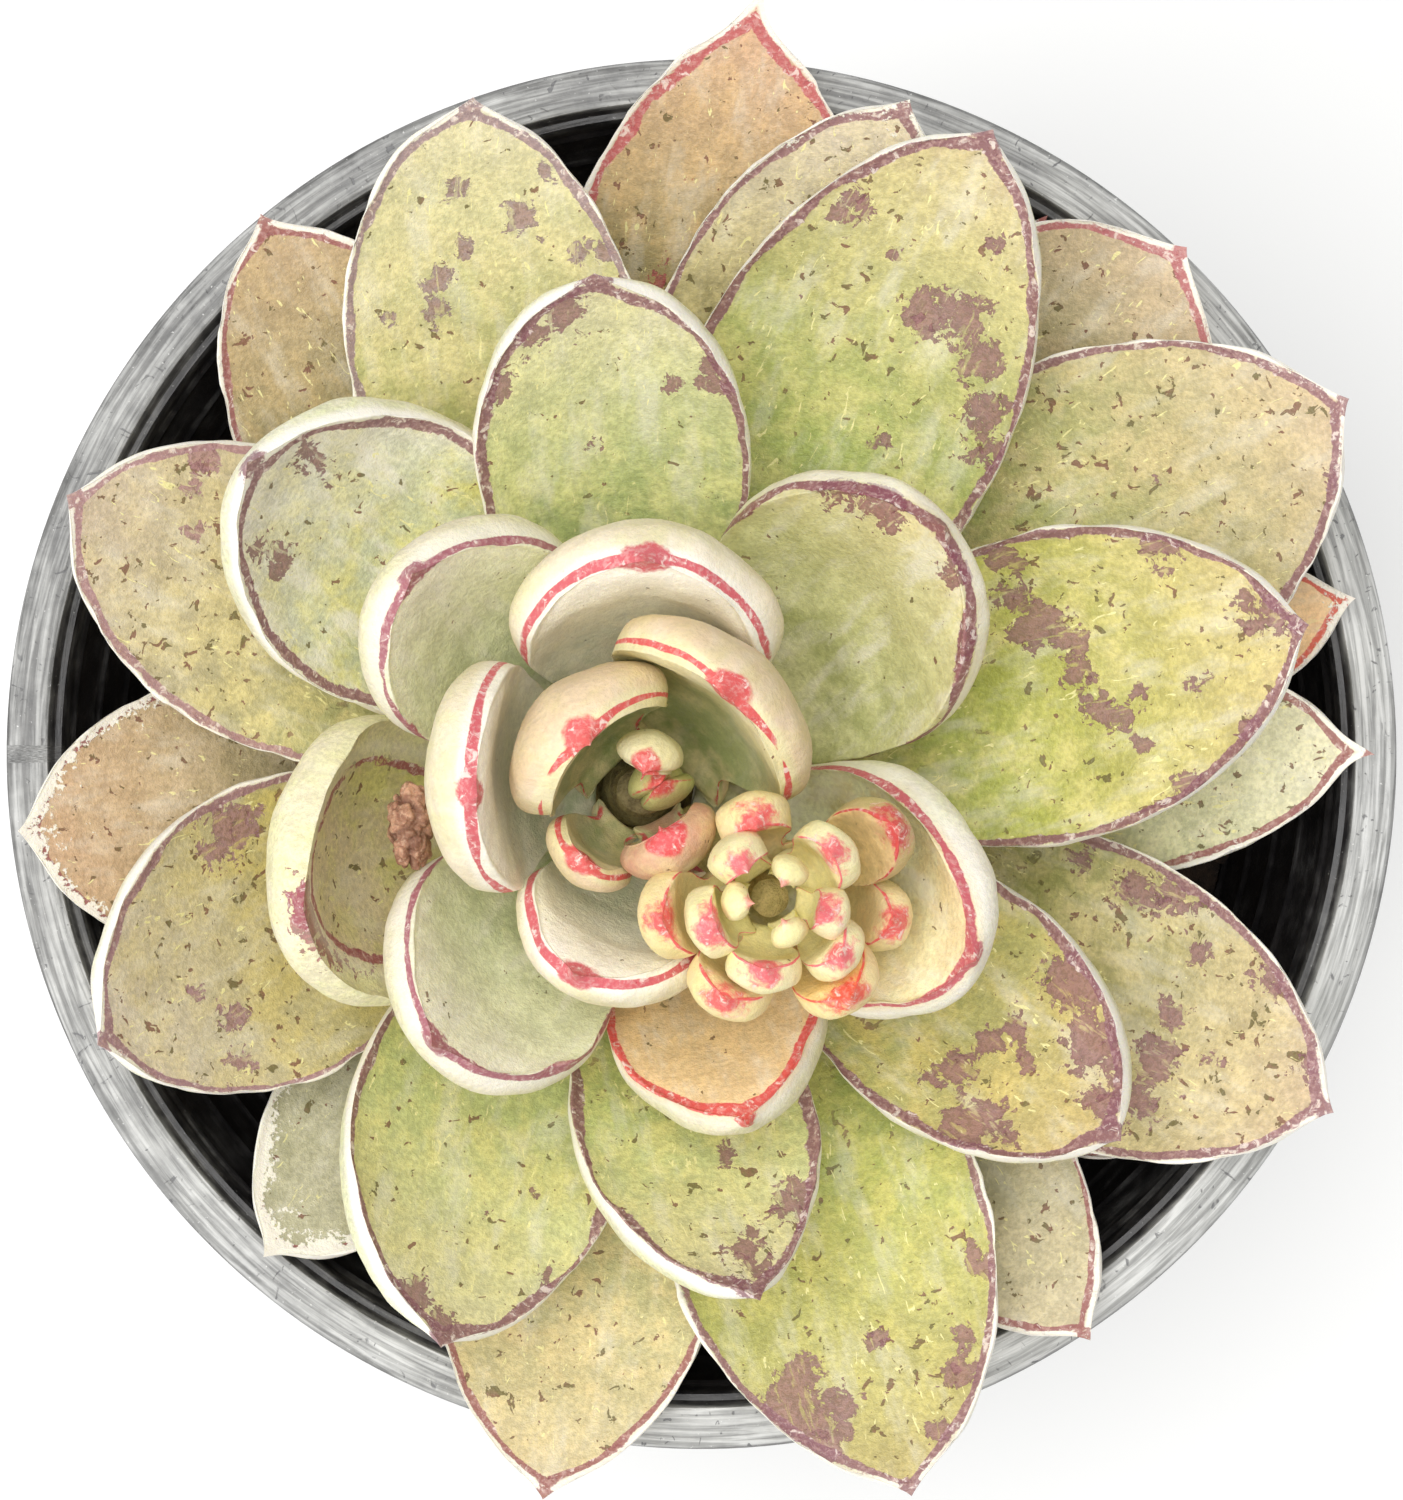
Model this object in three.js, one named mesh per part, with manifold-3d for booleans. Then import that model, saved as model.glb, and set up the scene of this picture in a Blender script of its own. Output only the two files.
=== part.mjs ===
// Rosette succulent with one offset rosette, growing in a thin round nursery pot.
// Millimetres, +Z up. The origin is the centre of the pot's underside.
import * as THREE from 'three';
import { mergeVertices } from 'three/addons/utils/BufferGeometryUtils.js';
import Module from 'manifold-3d';

const wasm = await Module();
wasm.setup();

// Driving dimensions.
const RIM_HEIGHT = 90;
const RIM_RADIUS = 52.5;
const LIP_WIDTH = 3.3;
const LIP_DEPTH = 5;
const STEP = 0.7;
const WALL = 1.1;
const BASE_RADIUS = 37.5;
const BASE_THICKNESS = 1.6;
const SOIL_DEPTH = 27;
const GAP = 0.3;
const POT_SIDES = 60;
const SKIRT_TAPER = 0.4;
const EDGE_ROUND = 0.5;
const FOOT_CHAMFER = 1.5;
const DRAIN_HOLES = 8;
const DRAIN_RADIUS = 3.2;
const DRAIN_INSET = 9;
const DRAIN_SIDES = 12;

// The mix is heaped towards the middle: shares of the wall radius, and the rise there.
const SOIL_HEAP = [[0.7, 1.2], [0.3, 2.4], [0, 2.8]];

// The main rosette stands a little off the pot's centre.
const CROWN = { x: -4.2, y: -2.5, z: RIM_HEIGHT };
const STEM = { foot: -34, top: 17.5, neckHeight: -6, thick: 5.4, thin: 1.7, steps: 10, sides: 16 };
const PUP = { azimuth: 321, reach: 11.3, foot: 12, top: 25, thick: 1.9, thin: 1.3, steps: 8, sides: 10 };
const PUP_ELBOW = { reachShare: 0.92, rise: 3.5 };
const LEAF_CLEARANCE = 0.25;

// A leaf is a row of sections, closest together near its tip.
const LEAF_STATIONS = [0, 0.12, 0.27, 0.42, 0.56, 0.69, 0.8, 0.89, 0.955, 0.992];
const PUP_STATIONS = [0, 0.25, 0.5, 0.72, 0.88, 0.97];
const LEAF_SIDES = 12;
const PUP_SIDES = 8;
const LEAF_SPIKE = 0.6;
const PUP_SPIKE = 0.4;

// How a leaf fills out: a quick rise to full width, a thin foot and a rounded underside.
const WIDTH_RISE = 1.2;
const FOOT_SHARE = 0.42;
const PLUMP_FROM = 0.45;
const TIP_THINNING = { power: 9, round: 0.6 };
const BELLY_ROUND = 0.65;

// The one dried, crumpled leaf is wedged between the middle and the inner leaves.
const DRIED = { azimuth: 189, reach: 16.6, height: 15.6, length: 6.6, width: 4.4, folds: 3 };
const HUSK = { sides: 16, round: 0.6, foldDepth: 0.2, twist: 0.9, flat: 0.62, sway: 0.5, bends: 5 };
const HUSK_HOOK = -0.3;
const HUSK_STATIONS = [0.08, 0.25, 0.45, 0.65, 0.82, 0.95];

const WHORLS = [
  { name: 'outer_leaf', base: -10, thick: 3.4, curl: 11, sag: 0.05, color: 0xb5a878, leaves: [
    { az: 82, reach: 56.5, tip: 6, width: 24, base: -13.5 },
    { az: 124, reach: 50, tip: 5, width: 21, bend: 2 },
    { az: 184, reach: 45.5, tip: 4.5, width: 22.5, base: -13, point: 0.6 },
    { az: 231, reach: 44, tip: 3.5, width: 17.6, base: -15.5, curl: 8 },
    { az: 262, reach: 51.5, tip: 7, width: 22.5, base: -8.5 },
    { az: 325, reach: 47, tip: -0.5, width: 15, base: -16.5 },
    { az: 15, reach: 54, tip: 2, width: 16, base: -16 },
    { az: 55, reach: 52, tip: -1, width: 12, base: -16.5 },
    { az: 45, reach: 55.5, tip: 5, width: 22, base: -11.3, full: 0.8, neck: 0.12 },
    { az: 309, reach: 51.4, tip: 5, width: 18.5, base: -11.5 },
    { az: 3, reach: 52, tip: 5, width: 18, base: -10.5 },
  ] },
  { name: 'lower_leaf', base: -5.5, thick: 4, curl: 14, sag: 0.07, color: 0xb4bc7e, leaves: [
    { az: 69, reach: 52, tip: 11.5, width: 21.5, base: -9, bend: 1.5, thick: 3.4 },
    { az: 29, reach: 56.5, tip: 12.5, width: 28, base: -4.5 },
    { az: 335, reach: 53.5, tip: 12, width: 23, base: -6.5 },
    { az: 291, reach: 53, tip: 12, width: 24.5, base: -2.5, bend: 1 },
    { az: 153, reach: 45, tip: 13, width: 22, base: -3.4, point: 0.6 },
    { az: 205, reach: 42, tip: 13, width: 23, base: -7.5, bend: -2, roll: -12, sag: 0.12 },
    { az: 104, reach: 49.5, tip: 14, width: 22.5, base: -6, bend: 3, point: 0.58 },
  ] },
  { name: 'middle_leaf', base: 0, thick: 4.6, curl: 22, sag: 0.09, color: 0xb9c583, leaves: [
    { az: 62, reach: 51, tip: 18, width: 24.5, base: 0.3, full: 0.55 },
    { az: 250, reach: 41, tip: 14.5, width: 22, base: -5, bend: -2.5, roll: -20 },
    { az: 14, reach: 46.5, tip: 19.5, width: 23, base: 3.8 },
    { az: 324, reach: 40.5, tip: 17.5, width: 19, base: 1.2, bend: 0.6, neck: 0.22 },
    { az: 283, reach: 35.5, tip: 18.5, width: 18, base: -0.5, bend: -2, roll: -14, neck: 0.22,
      point: 0.75 },
    { az: 199, reach: 24, tip: 22, width: 21.5, base: -1.2, sag: 0.19, curl: 36, roll: -17, bend: -1.5 },
    { az: 140, reach: 34.4, tip: 21, width: 22.4, base: 1.4, sag: 0.17, curl: 28, bend: -1 },
    { az: 95, reach: 34.5, tip: 22.5, width: 20, base: 3.5, point: 0.58 },
  ] },
  { name: 'upper_leaf', base: 5, thick: 4.8, curl: 32, sag: 0.12, color: 0xc3cd9a, leaves: [
    { az: 41, reach: 26.5, tip: 24.5, width: 21, base: 6.5 },
    { az: 288, reach: 23.5, tip: 20.5, width: 15.8, base: 3.1, curl: 16, sag: 0.07, point: 0.85 },
    { az: 231, reach: 21.5, tip: 24, width: 17.8, base: 7.7, roll: -15 },
    { az: 136, reach: 20.5, tip: 26, width: 17, base: 6.5 },
    { az: 334, reach: 24.5, tip: 26, width: 17, base: 9.5, curl: 48, roll: 20, bend: 1 },
  ] },
  { name: 'inner_leaf', base: 9, thick: 4.6, curl: 48, sag: 0.12, color: 0xc9d0a4, leaves: [
    { az: 180, reach: 10.5, tip: 30, width: 16, curl: 26, thick: 4, bend: -1 },
    { az: 88, reach: 15, tip: 29, width: 19, curl: 56 },
    { az: 252, reach: 12.6, tip: 26.5, width: 14.2, base: 10, sag: 0.08, thick: 3.4, bend: 1.2 },
  ] },
  { name: 'heart_leaf', base: 12.5, thick: 3.6, curl: 55, sag: 0.12, color: 0xc8c890, leaves: [
    { az: 134, reach: 4.6, tip: 29.5, width: 13, base: 14 },
    { az: 48, reach: 8.5, tip: 31, width: 17, base: 12, curl: 42 },
    { az: 231, reach: 5.6, tip: 26, width: 6.6, base: 14.5, thick: 2 },
    { az: 301, reach: 3, tip: 26.5, width: 6.6, base: 16, thick: 2 },
    { az: 73, reach: 1.2, tip: 25.5, width: 4, base: 16.5, thick: 1.5 },
  ] },
];

const PUP_WHORLS = [
  { name: 'pup_outer_leaf', base: -4, thick: 2.2, curl: 32, sag: 0.14, color: 0xdfc08a, leaves: [
    { az: 30, reach: 9.4, tip: 3.4, width: 5.8, base: -3.5 },
    { az: 350, reach: 8.2, tip: 1.2, width: 4.8, base: -6.4 },
    { az: 310, reach: 8, tip: 3, width: 6 },
    { az: 245, reach: 7, tip: 3, width: 6 },
    { az: 190, reach: 7.2, tip: 3.5, width: 6, base: -4.5 },
    { az: 102, reach: 5, tip: 4.2, width: 5 },
  ] },
  { name: 'pup_inner_leaf', base: -1.5, thick: 1.9, curl: 36, sag: 0.12, color: 0xe6cf90, leaves: [
    { az: 38, reach: 5, tip: 5, width: 5 },
    { az: 322, reach: 5.6, tip: 4.5, width: 4.4, base: -2 },
    { az: 264, reach: 4.4, tip: 5, width: 5 },
    { az: 200, reach: 4, tip: 5.5, width: 4.8, base: -1 },
    { az: 128, reach: 2.8, tip: 6, width: 3.8, base: -1 },
    { az: 348, reach: 3.2, tip: 5.8, width: 3, base: -0.3 },
  ] },
  { name: 'pup_heart_leaf', base: 0.6, thick: 1.1, curl: 36, sag: 0.1, color: 0xead894, leaves: [
    { az: 60, reach: 1.4, tip: 6, width: 2.2 },
    { az: 180, reach: 1.4, tip: 6.2, width: 2.2 },
    { az: 300, reach: 1.4, tip: 6, width: 2.2 },
  ] },
];

const radians = THREE.MathUtils.degToRad;
const root = new THREE.Group();

function addMesh(name, geometry, color, roughness = 0.6) {
  const material = new THREE.MeshStandardMaterial({ color, roughness, metalness: 0 });
  const mesh = new THREE.Mesh(geometry, material);
  mesh.name = name;
  root.add(mesh);
  return mesh;
}

// Closes a row of equal rings with a point at each end.
function loft(rings, firstPole, lastPole) {
  const sides = rings[0].length;
  const points = [firstPole, ...rings.flat(), lastPole];
  const last = points.length - 1;
  const faces = [];
  for (let side = 0; side < sides; side += 1) {
    const next = (side + 1) % sides;
    faces.push(0, 1 + next, 1 + side);
    for (let row = 0; row < rings.length - 1; row += 1) {
      const low = 1 + row * sides;
      const high = low + sides;
      faces.push(low + side, low + next, high + next);
      faces.push(low + side, high + next, high + side);
    }
    const end = last - sides;
    faces.push(last, end + side, end + next);
  }
  const geometry = new THREE.BufferGeometry();
  const places = points.flatMap((point) => point.toArray());
  geometry.setAttribute('position', new THREE.Float32BufferAttribute(places, 3));
  geometry.setIndex(faces);
  return geometry;
}

function stemRadius(stem, height) {
  const share = THREE.MathUtils.clamp((height - stem.neckHeight) / (stem.top - stem.neckHeight), 0, 1);
  return THREE.MathUtils.lerp(stem.thick, stem.thin, share);
}

// Share of the full width at a station: a narrow foot, a broad upper half and a drawn-in tip.
function widthShare(leaf, v) {
  if (v < leaf.full) {
    const rise = Math.sin((v / leaf.full) * Math.PI / 2) ** WIDTH_RISE;
    return leaf.neck + (1 - leaf.neck) * rise;
  }
  const fall = (v - leaf.full) / (1 - leaf.full);
  return (1 - fall * fall) ** leaf.point;
}

// Share of the full thickness: thin at the foot, and fleshy almost to the tip.
function thickShare(v) {
  const plump = THREE.MathUtils.lerp(FOOT_SHARE, 1, Math.min(1, v / PLUMP_FROM));
  return plump * (1 - v ** TIP_THINNING.power) ** TIP_THINNING.round;
}

// The leaf's centre line, in the upright plane through the stem.
function midrib(leaf, stem) {
  const clear = stemRadius(stem, leaf.base) + GAP + LEAF_CLEARANCE;
  const foot = new THREE.Vector3(clear, 0, leaf.base);
  const end = new THREE.Vector3(leaf.reach, 0, leaf.tip);
  const chord = end.clone().sub(foot);
  const bow = new THREE.Vector3(chord.z, 0, -chord.x).multiplyScalar(2 * leaf.sag);
  const middle = foot.clone().add(end).multiplyScalar(0.5).add(bow);
  middle.y += 2 * leaf.bend;
  return new THREE.QuadraticBezierCurve3(foot, middle, end);
}

// One section of the leaf: a dished upper face over a rounded, fleshy underside.
function leafRing(leaf, curve, v, sides) {
  const centre = curve.getPoint(v);
  const along = curve.getTangent(v);
  const across = new THREE.Vector3(0, 1, 0);
  across.addScaledVector(along, -across.dot(along)).normalize();
  const up = along.clone().cross(across);
  const turn = radians(leaf.roll) * v;
  across.applyAxisAngle(along, turn);
  up.applyAxisAngle(along, turn);
  const share = widthShare(leaf, v);
  const half = leaf.width * share / 2;
  const curl = radians(leaf.curl) * share;
  const thick = leaf.thick * thickShare(v);
  const ring = [];
  for (let side = 0; side < sides; side += 1) {
    const angle = side / sides * Math.PI * 2;
    const u = Math.cos(angle);
    const dish = half * (1 - Math.cos(curl * u)) / curl;
    const belly = Math.max(0, -Math.sin(angle)) ** BELLY_ROUND;
    const sideways = half * Math.sin(curl * u) / curl;
    const outward = new THREE.Vector3(-Math.sin(curl * u), 0, Math.cos(curl * u));
    const point = centre.clone()
      .addScaledVector(across, sideways - outward.x * thick * belly)
      .addScaledVector(up, dish - outward.z * thick * belly);
    ring.push(point);
  }
  return ring;
}

function leafGeometry(leaf, stem, stations, sides) {
  const curve = midrib(leaf, stem);
  const rings = stations.map((v) => leafRing(leaf, curve, v, sides));
  const foot = curve.getPoint(0).add(rings[0][sides * 3 / 4]).multiplyScalar(0.5);
  const tip = curve.getPoint(1).addScaledVector(curve.getTangent(1), leaf.spike);
  return loft(rings, foot, tip);
}

function addRosette(whorls, stem, place, stations, sides, spike) {
  const plain = { full: 0.6, point: 0.66, neck: 0.28, roll: 0, bend: 0, spike };
  for (const { name, leaves, color, ...shared } of whorls) {
    leaves.forEach((own, index) => {
      const leaf = { ...plain, ...shared, ...own };
      const geometry = leafGeometry(leaf, stem, stations, sides);
      const mesh = addMesh(`${name}_${index + 1}`, geometry, color, 0.5);
      mesh.rotation.z = radians(leaf.az);
      mesh.position.set(place.x, place.y, place.z);
    });
  }
}

function tubeAlong(curve, radiusAt, steps, sides) {
  const rings = [];
  for (let step = 0; step <= steps; step += 1) {
    const share = step / steps;
    const along = curve.getTangent(share);
    const across = new THREE.Vector3(0, 1, 0).cross(along).normalize();
    const other = along.clone().cross(across);
    const radius = radiusAt(share);
    rings.push(Array.from({ length: sides }, (_, side) => {
      const angle = side / sides * Math.PI * 2;
      return curve.getPoint(share)
        .addScaledVector(across, radius * Math.cos(angle))
        .addScaledVector(other, radius * Math.sin(angle));
    }));
  }
  return loft(rings, curve.getPoint(0), curve.getPoint(1));
}

function stemGeometry(extra = 0) {
  const foot = new THREE.Vector3(0, 0, STEM.foot - extra);
  const curve = new THREE.LineCurve3(foot, new THREE.Vector3(0, 0, STEM.top));
  const span = STEM.top - STEM.foot;
  const radiusAt = (share) => stemRadius(STEM, STEM.foot + share * span) + extra;
  return tubeAlong(curve, radiusAt, STEM.steps, STEM.sides);
}

function pupStemGeometry() {
  const side = radians(PUP.azimuth);
  const out = new THREE.Vector3(Math.cos(side), Math.sin(side), 0);
  const inner = stemRadius(STEM, PUP.foot) + GAP + PUP.thick * 0.6;
  const start = out.clone().multiplyScalar(inner).setZ(PUP.foot);
  const end = out.clone().multiplyScalar(PUP.reach).setZ(PUP.top);
  const elbowReach = PUP.reach * PUP_ELBOW.reachShare;
  const elbow = out.clone().multiplyScalar(elbowReach).setZ(PUP.foot + PUP_ELBOW.rise);
  const curve = new THREE.QuadraticBezierCurve3(start, elbow, end);
  const radiusAt = (share) => THREE.MathUtils.lerp(PUP.thick, PUP.thin, share);
  return tubeAlong(curve, radiusAt, PUP.steps, PUP.sides);
}

function toSolid(geometry) {
  const bare = geometry.clone();
  bare.deleteAttribute('normal');
  bare.deleteAttribute('uv');
  const merged = mergeVertices(bare, 1e-4);
  return new wasm.Manifold(new wasm.Mesh({
    numProp: 3,
    vertProperties: new Float32Array(merged.attributes.position.array),
    triVerts: new Uint32Array(merged.index.array),
  }));
}

function toGeometry(solid) {
  const mesh = solid.getMesh();
  const geometry = new THREE.BufferGeometry();
  geometry.setAttribute('position', new THREE.BufferAttribute(mesh.vertProperties, 3));
  geometry.setIndex(new THREE.BufferAttribute(mesh.triVerts, 1));
  return geometry;
}

function turned(profile, sides) {
  const points = profile.map(([radius, height]) => new THREE.Vector2(radius, height));
  const geometry = new THREE.LatheGeometry(points, sides);
  geometry.rotateX(Math.PI / 2);
  return geometry;
}

// Wall radius of the tapered pot at a height, on its inner face.
function innerRadius(height) {
  const top = RIM_RADIUS - LIP_WIDTH;
  const floor = BASE_RADIUS - WALL;
  return THREE.MathUtils.lerp(floor, top, height / RIM_HEIGHT);
}

// A thin shell whose lip turns out and down into a short skirt.
function potGeometry() {
  const top = RIM_RADIUS - LIP_WIDTH;
  const underLip = RIM_HEIGHT - WALL;
  const skirt = RIM_HEIGHT - LIP_DEPTH;
  const profile = [
    [0, 0],
    [BASE_RADIUS - FOOT_CHAMFER, 0],
    [BASE_RADIUS, FOOT_CHAMFER],
    [innerRadius(underLip) + WALL, underLip],
    [RIM_RADIUS - WALL, underLip],
    [RIM_RADIUS - WALL - SKIRT_TAPER, skirt],
    [RIM_RADIUS - SKIRT_TAPER, skirt],
    [RIM_RADIUS, RIM_HEIGHT - EDGE_ROUND],
    [RIM_RADIUS - EDGE_ROUND, RIM_HEIGHT],
    [top, RIM_HEIGHT],
    [top - 0.1, underLip],
    [top - STEP, underLip - 0.2],
    [innerRadius(skirt), skirt],
    [innerRadius(BASE_THICKNESS), BASE_THICKNESS],
    [0, BASE_THICKNESS],
  ];
  return turned(profile, POT_SIDES);
}

function drilledPot() {
  let solid = toSolid(potGeometry());
  for (let hole = 0; hole < DRAIN_HOLES; hole += 1) {
    const side = (hole + 0.5) / DRAIN_HOLES * Math.PI * 2;
    const depth = BASE_THICKNESS * 4;
    const reach = BASE_RADIUS - DRAIN_INSET;
    const drill = new THREE.CylinderGeometry(DRAIN_RADIUS, DRAIN_RADIUS, depth, DRAIN_SIDES);
    drill.rotateX(Math.PI / 2);
    drill.translate(Math.cos(side) * reach, Math.sin(side) * reach, 0);
    solid = solid.subtract(toSolid(drill));
  }
  return toGeometry(solid);
}

function soilGeometry() {
  const surface = RIM_HEIGHT - SOIL_DEPTH;
  const bottom = BASE_THICKNESS + GAP;
  const profile = [
    [0, bottom],
    [innerRadius(bottom) - GAP, bottom],
    [innerRadius(surface) - GAP, surface],
    ...SOIL_HEAP.map(([share, rise]) => [innerRadius(surface) * share, surface + rise]),
  ];
  const socket = stemGeometry(GAP);
  socket.translate(CROWN.x, CROWN.y, CROWN.z);
  return toGeometry(toSolid(turned(profile, POT_SIDES)).subtract(toSolid(socket)));
}

// A small twisted husk: a rounded body whose skin is pressed into a few long folds.
function driedGeometry() {
  const rings = [];
  HUSK_STATIONS.forEach((v, row) => {
    const girth = Math.sin(Math.PI * v) ** HUSK.round * DRIED.width / 2;
    const sway = Math.sin(v * HUSK.bends) * HUSK.sway;
    rings.push(Array.from({ length: HUSK.sides }, (_, side) => {
      const angle = side / HUSK.sides * Math.PI * 2;
      const fold = 1 + HUSK.foldDepth * Math.sin(DRIED.folds * angle + row * HUSK.twist);
      return new THREE.Vector3(
        sway + girth * fold * Math.cos(angle) * HUSK.flat,
        (v - 0.5) * DRIED.length,
        girth * fold * -Math.sin(angle),
      );
    }));
  });
  const half = DRIED.length / 2;
  return loft(rings, new THREE.Vector3(0, -half, 0), new THREE.Vector3(HUSK_HOOK, half, 0));
}

addMesh('nursery_pot', drilledPot(), 0x26272a, 0.5);
addMesh('soil', soilGeometry(), 0x2b211a, 0.95);
addMesh('stem', stemGeometry(), 0x8d8a5c, 0.7).position.set(CROWN.x, CROWN.y, CROWN.z);
addMesh('pup_stem', pupStemGeometry(), 0xb9a46f, 0.7).position.set(CROWN.x, CROWN.y, CROWN.z);
addRosette(WHORLS, STEM, CROWN, LEAF_STATIONS, LEAF_SIDES, LEAF_SPIKE);

const driedSide = radians(DRIED.azimuth);
const dried = addMesh('dried_leaf', driedGeometry(), 0xb58a6c, 0.85);
dried.position.set(
  CROWN.x + DRIED.reach * Math.cos(driedSide),
  CROWN.y + DRIED.reach * Math.sin(driedSide),
  CROWN.z + DRIED.height,
);

const pupSide = radians(PUP.azimuth);
const pupPlace = {
  x: CROWN.x + PUP.reach * Math.cos(pupSide),
  y: CROWN.y + PUP.reach * Math.sin(pupSide),
  z: CROWN.z + PUP.top,
};
const pupTop = { neckHeight: -6, top: 1, thick: PUP.thick, thin: PUP.thin };
addRosette(PUP_WHORLS, pupTop, pupPlace, PUP_STATIONS, PUP_SIDES, PUP_SPIKE);

export default root;
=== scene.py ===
import math

import bmesh
import bpy
import numpy as np
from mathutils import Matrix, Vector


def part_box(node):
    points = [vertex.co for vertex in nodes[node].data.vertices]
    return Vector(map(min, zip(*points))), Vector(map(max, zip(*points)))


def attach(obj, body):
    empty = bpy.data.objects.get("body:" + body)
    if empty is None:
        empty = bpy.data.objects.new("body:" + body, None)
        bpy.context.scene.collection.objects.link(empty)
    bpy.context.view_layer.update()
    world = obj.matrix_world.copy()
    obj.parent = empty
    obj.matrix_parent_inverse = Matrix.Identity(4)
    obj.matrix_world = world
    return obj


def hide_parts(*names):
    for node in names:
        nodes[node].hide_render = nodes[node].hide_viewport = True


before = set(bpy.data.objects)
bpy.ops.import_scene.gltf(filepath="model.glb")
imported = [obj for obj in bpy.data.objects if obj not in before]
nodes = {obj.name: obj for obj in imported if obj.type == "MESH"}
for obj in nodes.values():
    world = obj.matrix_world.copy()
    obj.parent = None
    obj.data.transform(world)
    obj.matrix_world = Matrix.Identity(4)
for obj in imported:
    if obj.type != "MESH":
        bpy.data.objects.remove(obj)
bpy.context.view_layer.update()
scene = bpy.context.scene
mm = 0.001
mergeGap = 0.02 * mm


# Colours are written as they look on a screen, from 0 to 1.
def tone(red, green, blue):
    shades = [c / 12.92 if c <= 0.04045 else ((c + 0.055) / 1.055) ** 2.4 for c in (red, green, blue)]
    return (*shades, 1.0)


def addNode(tree, kind, inputs=None, **settings):
    made = tree.nodes.new(kind)
    for key, value in settings.items():
        setattr(made, key, value)
    for key, value in (inputs or {}).items():
        if isinstance(value, bpy.types.NodeSocket):
            tree.links.new(value, made.inputs[key])
        else:
            made.inputs[key].default_value = value
    return made


def newMaterial(name):
    material = bpy.data.materials.new(name)
    material.use_nodes = True
    tree = material.node_tree
    tree.nodes.clear()
    shader = addNode(tree, "ShaderNodeBsdfPrincipled")
    output = addNode(tree, "ShaderNodeOutputMaterial")
    tree.links.new(shader.outputs["BSDF"], output.inputs["Surface"])
    return material, tree, shader


def maths(tree, operation, first, second, third=None):
    inputs = {0: first, 1: second}
    if third is not None:
        inputs[2] = third
    return addNode(tree, "ShaderNodeMath", inputs, operation=operation).outputs[0]


def times(tree, first, second):
    return maths(tree, "MULTIPLY", first, second)


def plus(tree, first, second):
    return maths(tree, "ADD", first, second)


def timesPlus(tree, first, second, third):
    return maths(tree, "MULTIPLY_ADD", first, second, third)


def mixColour(tree, share, first, second, blend="MIX"):
    inputs = {0: share, 6: first, 7: second}
    made = addNode(tree, "ShaderNodeMix", inputs, data_type="RGBA", blend_type=blend)
    return made.outputs[2]


def ramp(tree, value, low, high, lowest=0.0, highest=1.0):
    inputs = {"Value": value, "From Min": low, "From Max": high, "To Min": lowest, "To Max": highest}
    made = addNode(tree, "ShaderNodeMapRange", inputs, interpolation_type="SMOOTHSTEP")
    return made.outputs["Result"]


def noise(tree, place, scale, detail=2.0, rough=0.55, warp=0.0):
    inputs = {"Vector": place, "Scale": scale, "Detail": detail, "Roughness": rough, "Distortion": warp}
    return addNode(tree, "ShaderNodeTexNoise", inputs).outputs[0]


def attribute(tree, name, output="Fac"):
    return addNode(tree, "ShaderNodeAttribute", attribute_name=name).outputs[output]


def scaledPlace(tree, vector, scale):
    return addNode(tree, "ShaderNodeMapping", {"Vector": vector, "Scale": scale}).outputs[0]


def objectPlace(tree):
    source = addNode(tree, "ShaderNodeTexCoord").outputs["Object"]
    return scaledPlace(tree, source, (1000, 1000, 1000))


def addBump(tree, shader, height, strength, distance):
    bump = addNode(tree, "ShaderNodeBump", {"Strength": strength, "Distance": distance, "Height": height})
    tree.links.new(bump.outputs[0], shader.inputs["Normal"])


def finishPiece(piece, slotName, *cadNodes):
    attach(piece, "root")
    if cadNodes:
        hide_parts(*cadNodes)
    return piece


def newPiece(name, vertices, faces, material, smooth=True):
    mesh = bpy.data.meshes.new(name)
    mesh.from_pydata([tuple(v) for v in vertices], [], [tuple(f) for f in faces])
    mesh.materials.append(material)
    mesh.polygons.foreach_set("use_smooth", [smooth] * len(mesh.polygons))
    mesh.update()
    piece = bpy.data.objects.new(name, mesh)
    scene.collection.objects.link(piece)
    return piece


def setAttribute(mesh, name, values, kind="FLOAT"):
    made = mesh.attributes.new(name, kind, "POINT")
    field = {"FLOAT": "value", "FLOAT_COLOR": "color", "FLOAT_VECTOR": "vector"}[kind]
    made.data.foreach_set(field, np.asarray(values, np.float32).ravel())


def turns(around, offset=0.0):
    return (np.arange(around) + offset) * 2 * math.pi / around


def withPoles(first, grid, last):
    return np.concatenate([[first], grid.reshape(-1, 3), [last]])


def blend(low, high, weight):
    weight = weight[:, None]
    return low * (1 - weight) + high * weight


# A smooth wandering value, about -1 to 1, for points in millimetres.
def wander(points, wavelength, seed):
    dice = np.random.default_rng(seed)
    total = np.zeros(len(points))
    waves = 7
    for _ in range(waves):
        direction = dice.normal(size=3)
        direction /= np.linalg.norm(direction)
        stretch = dice.uniform(0.7, 1.5) * 2 * math.pi / wavelength
        total += np.sin(points @ direction * stretch + dice.uniform(0, 2 * math.pi))
    return total / waves * 1.6


leafMesh = {"around": 72, "rows": 84, "pupAround": 40, "pupRows": 36, "poleShare": 1.5}


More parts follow.
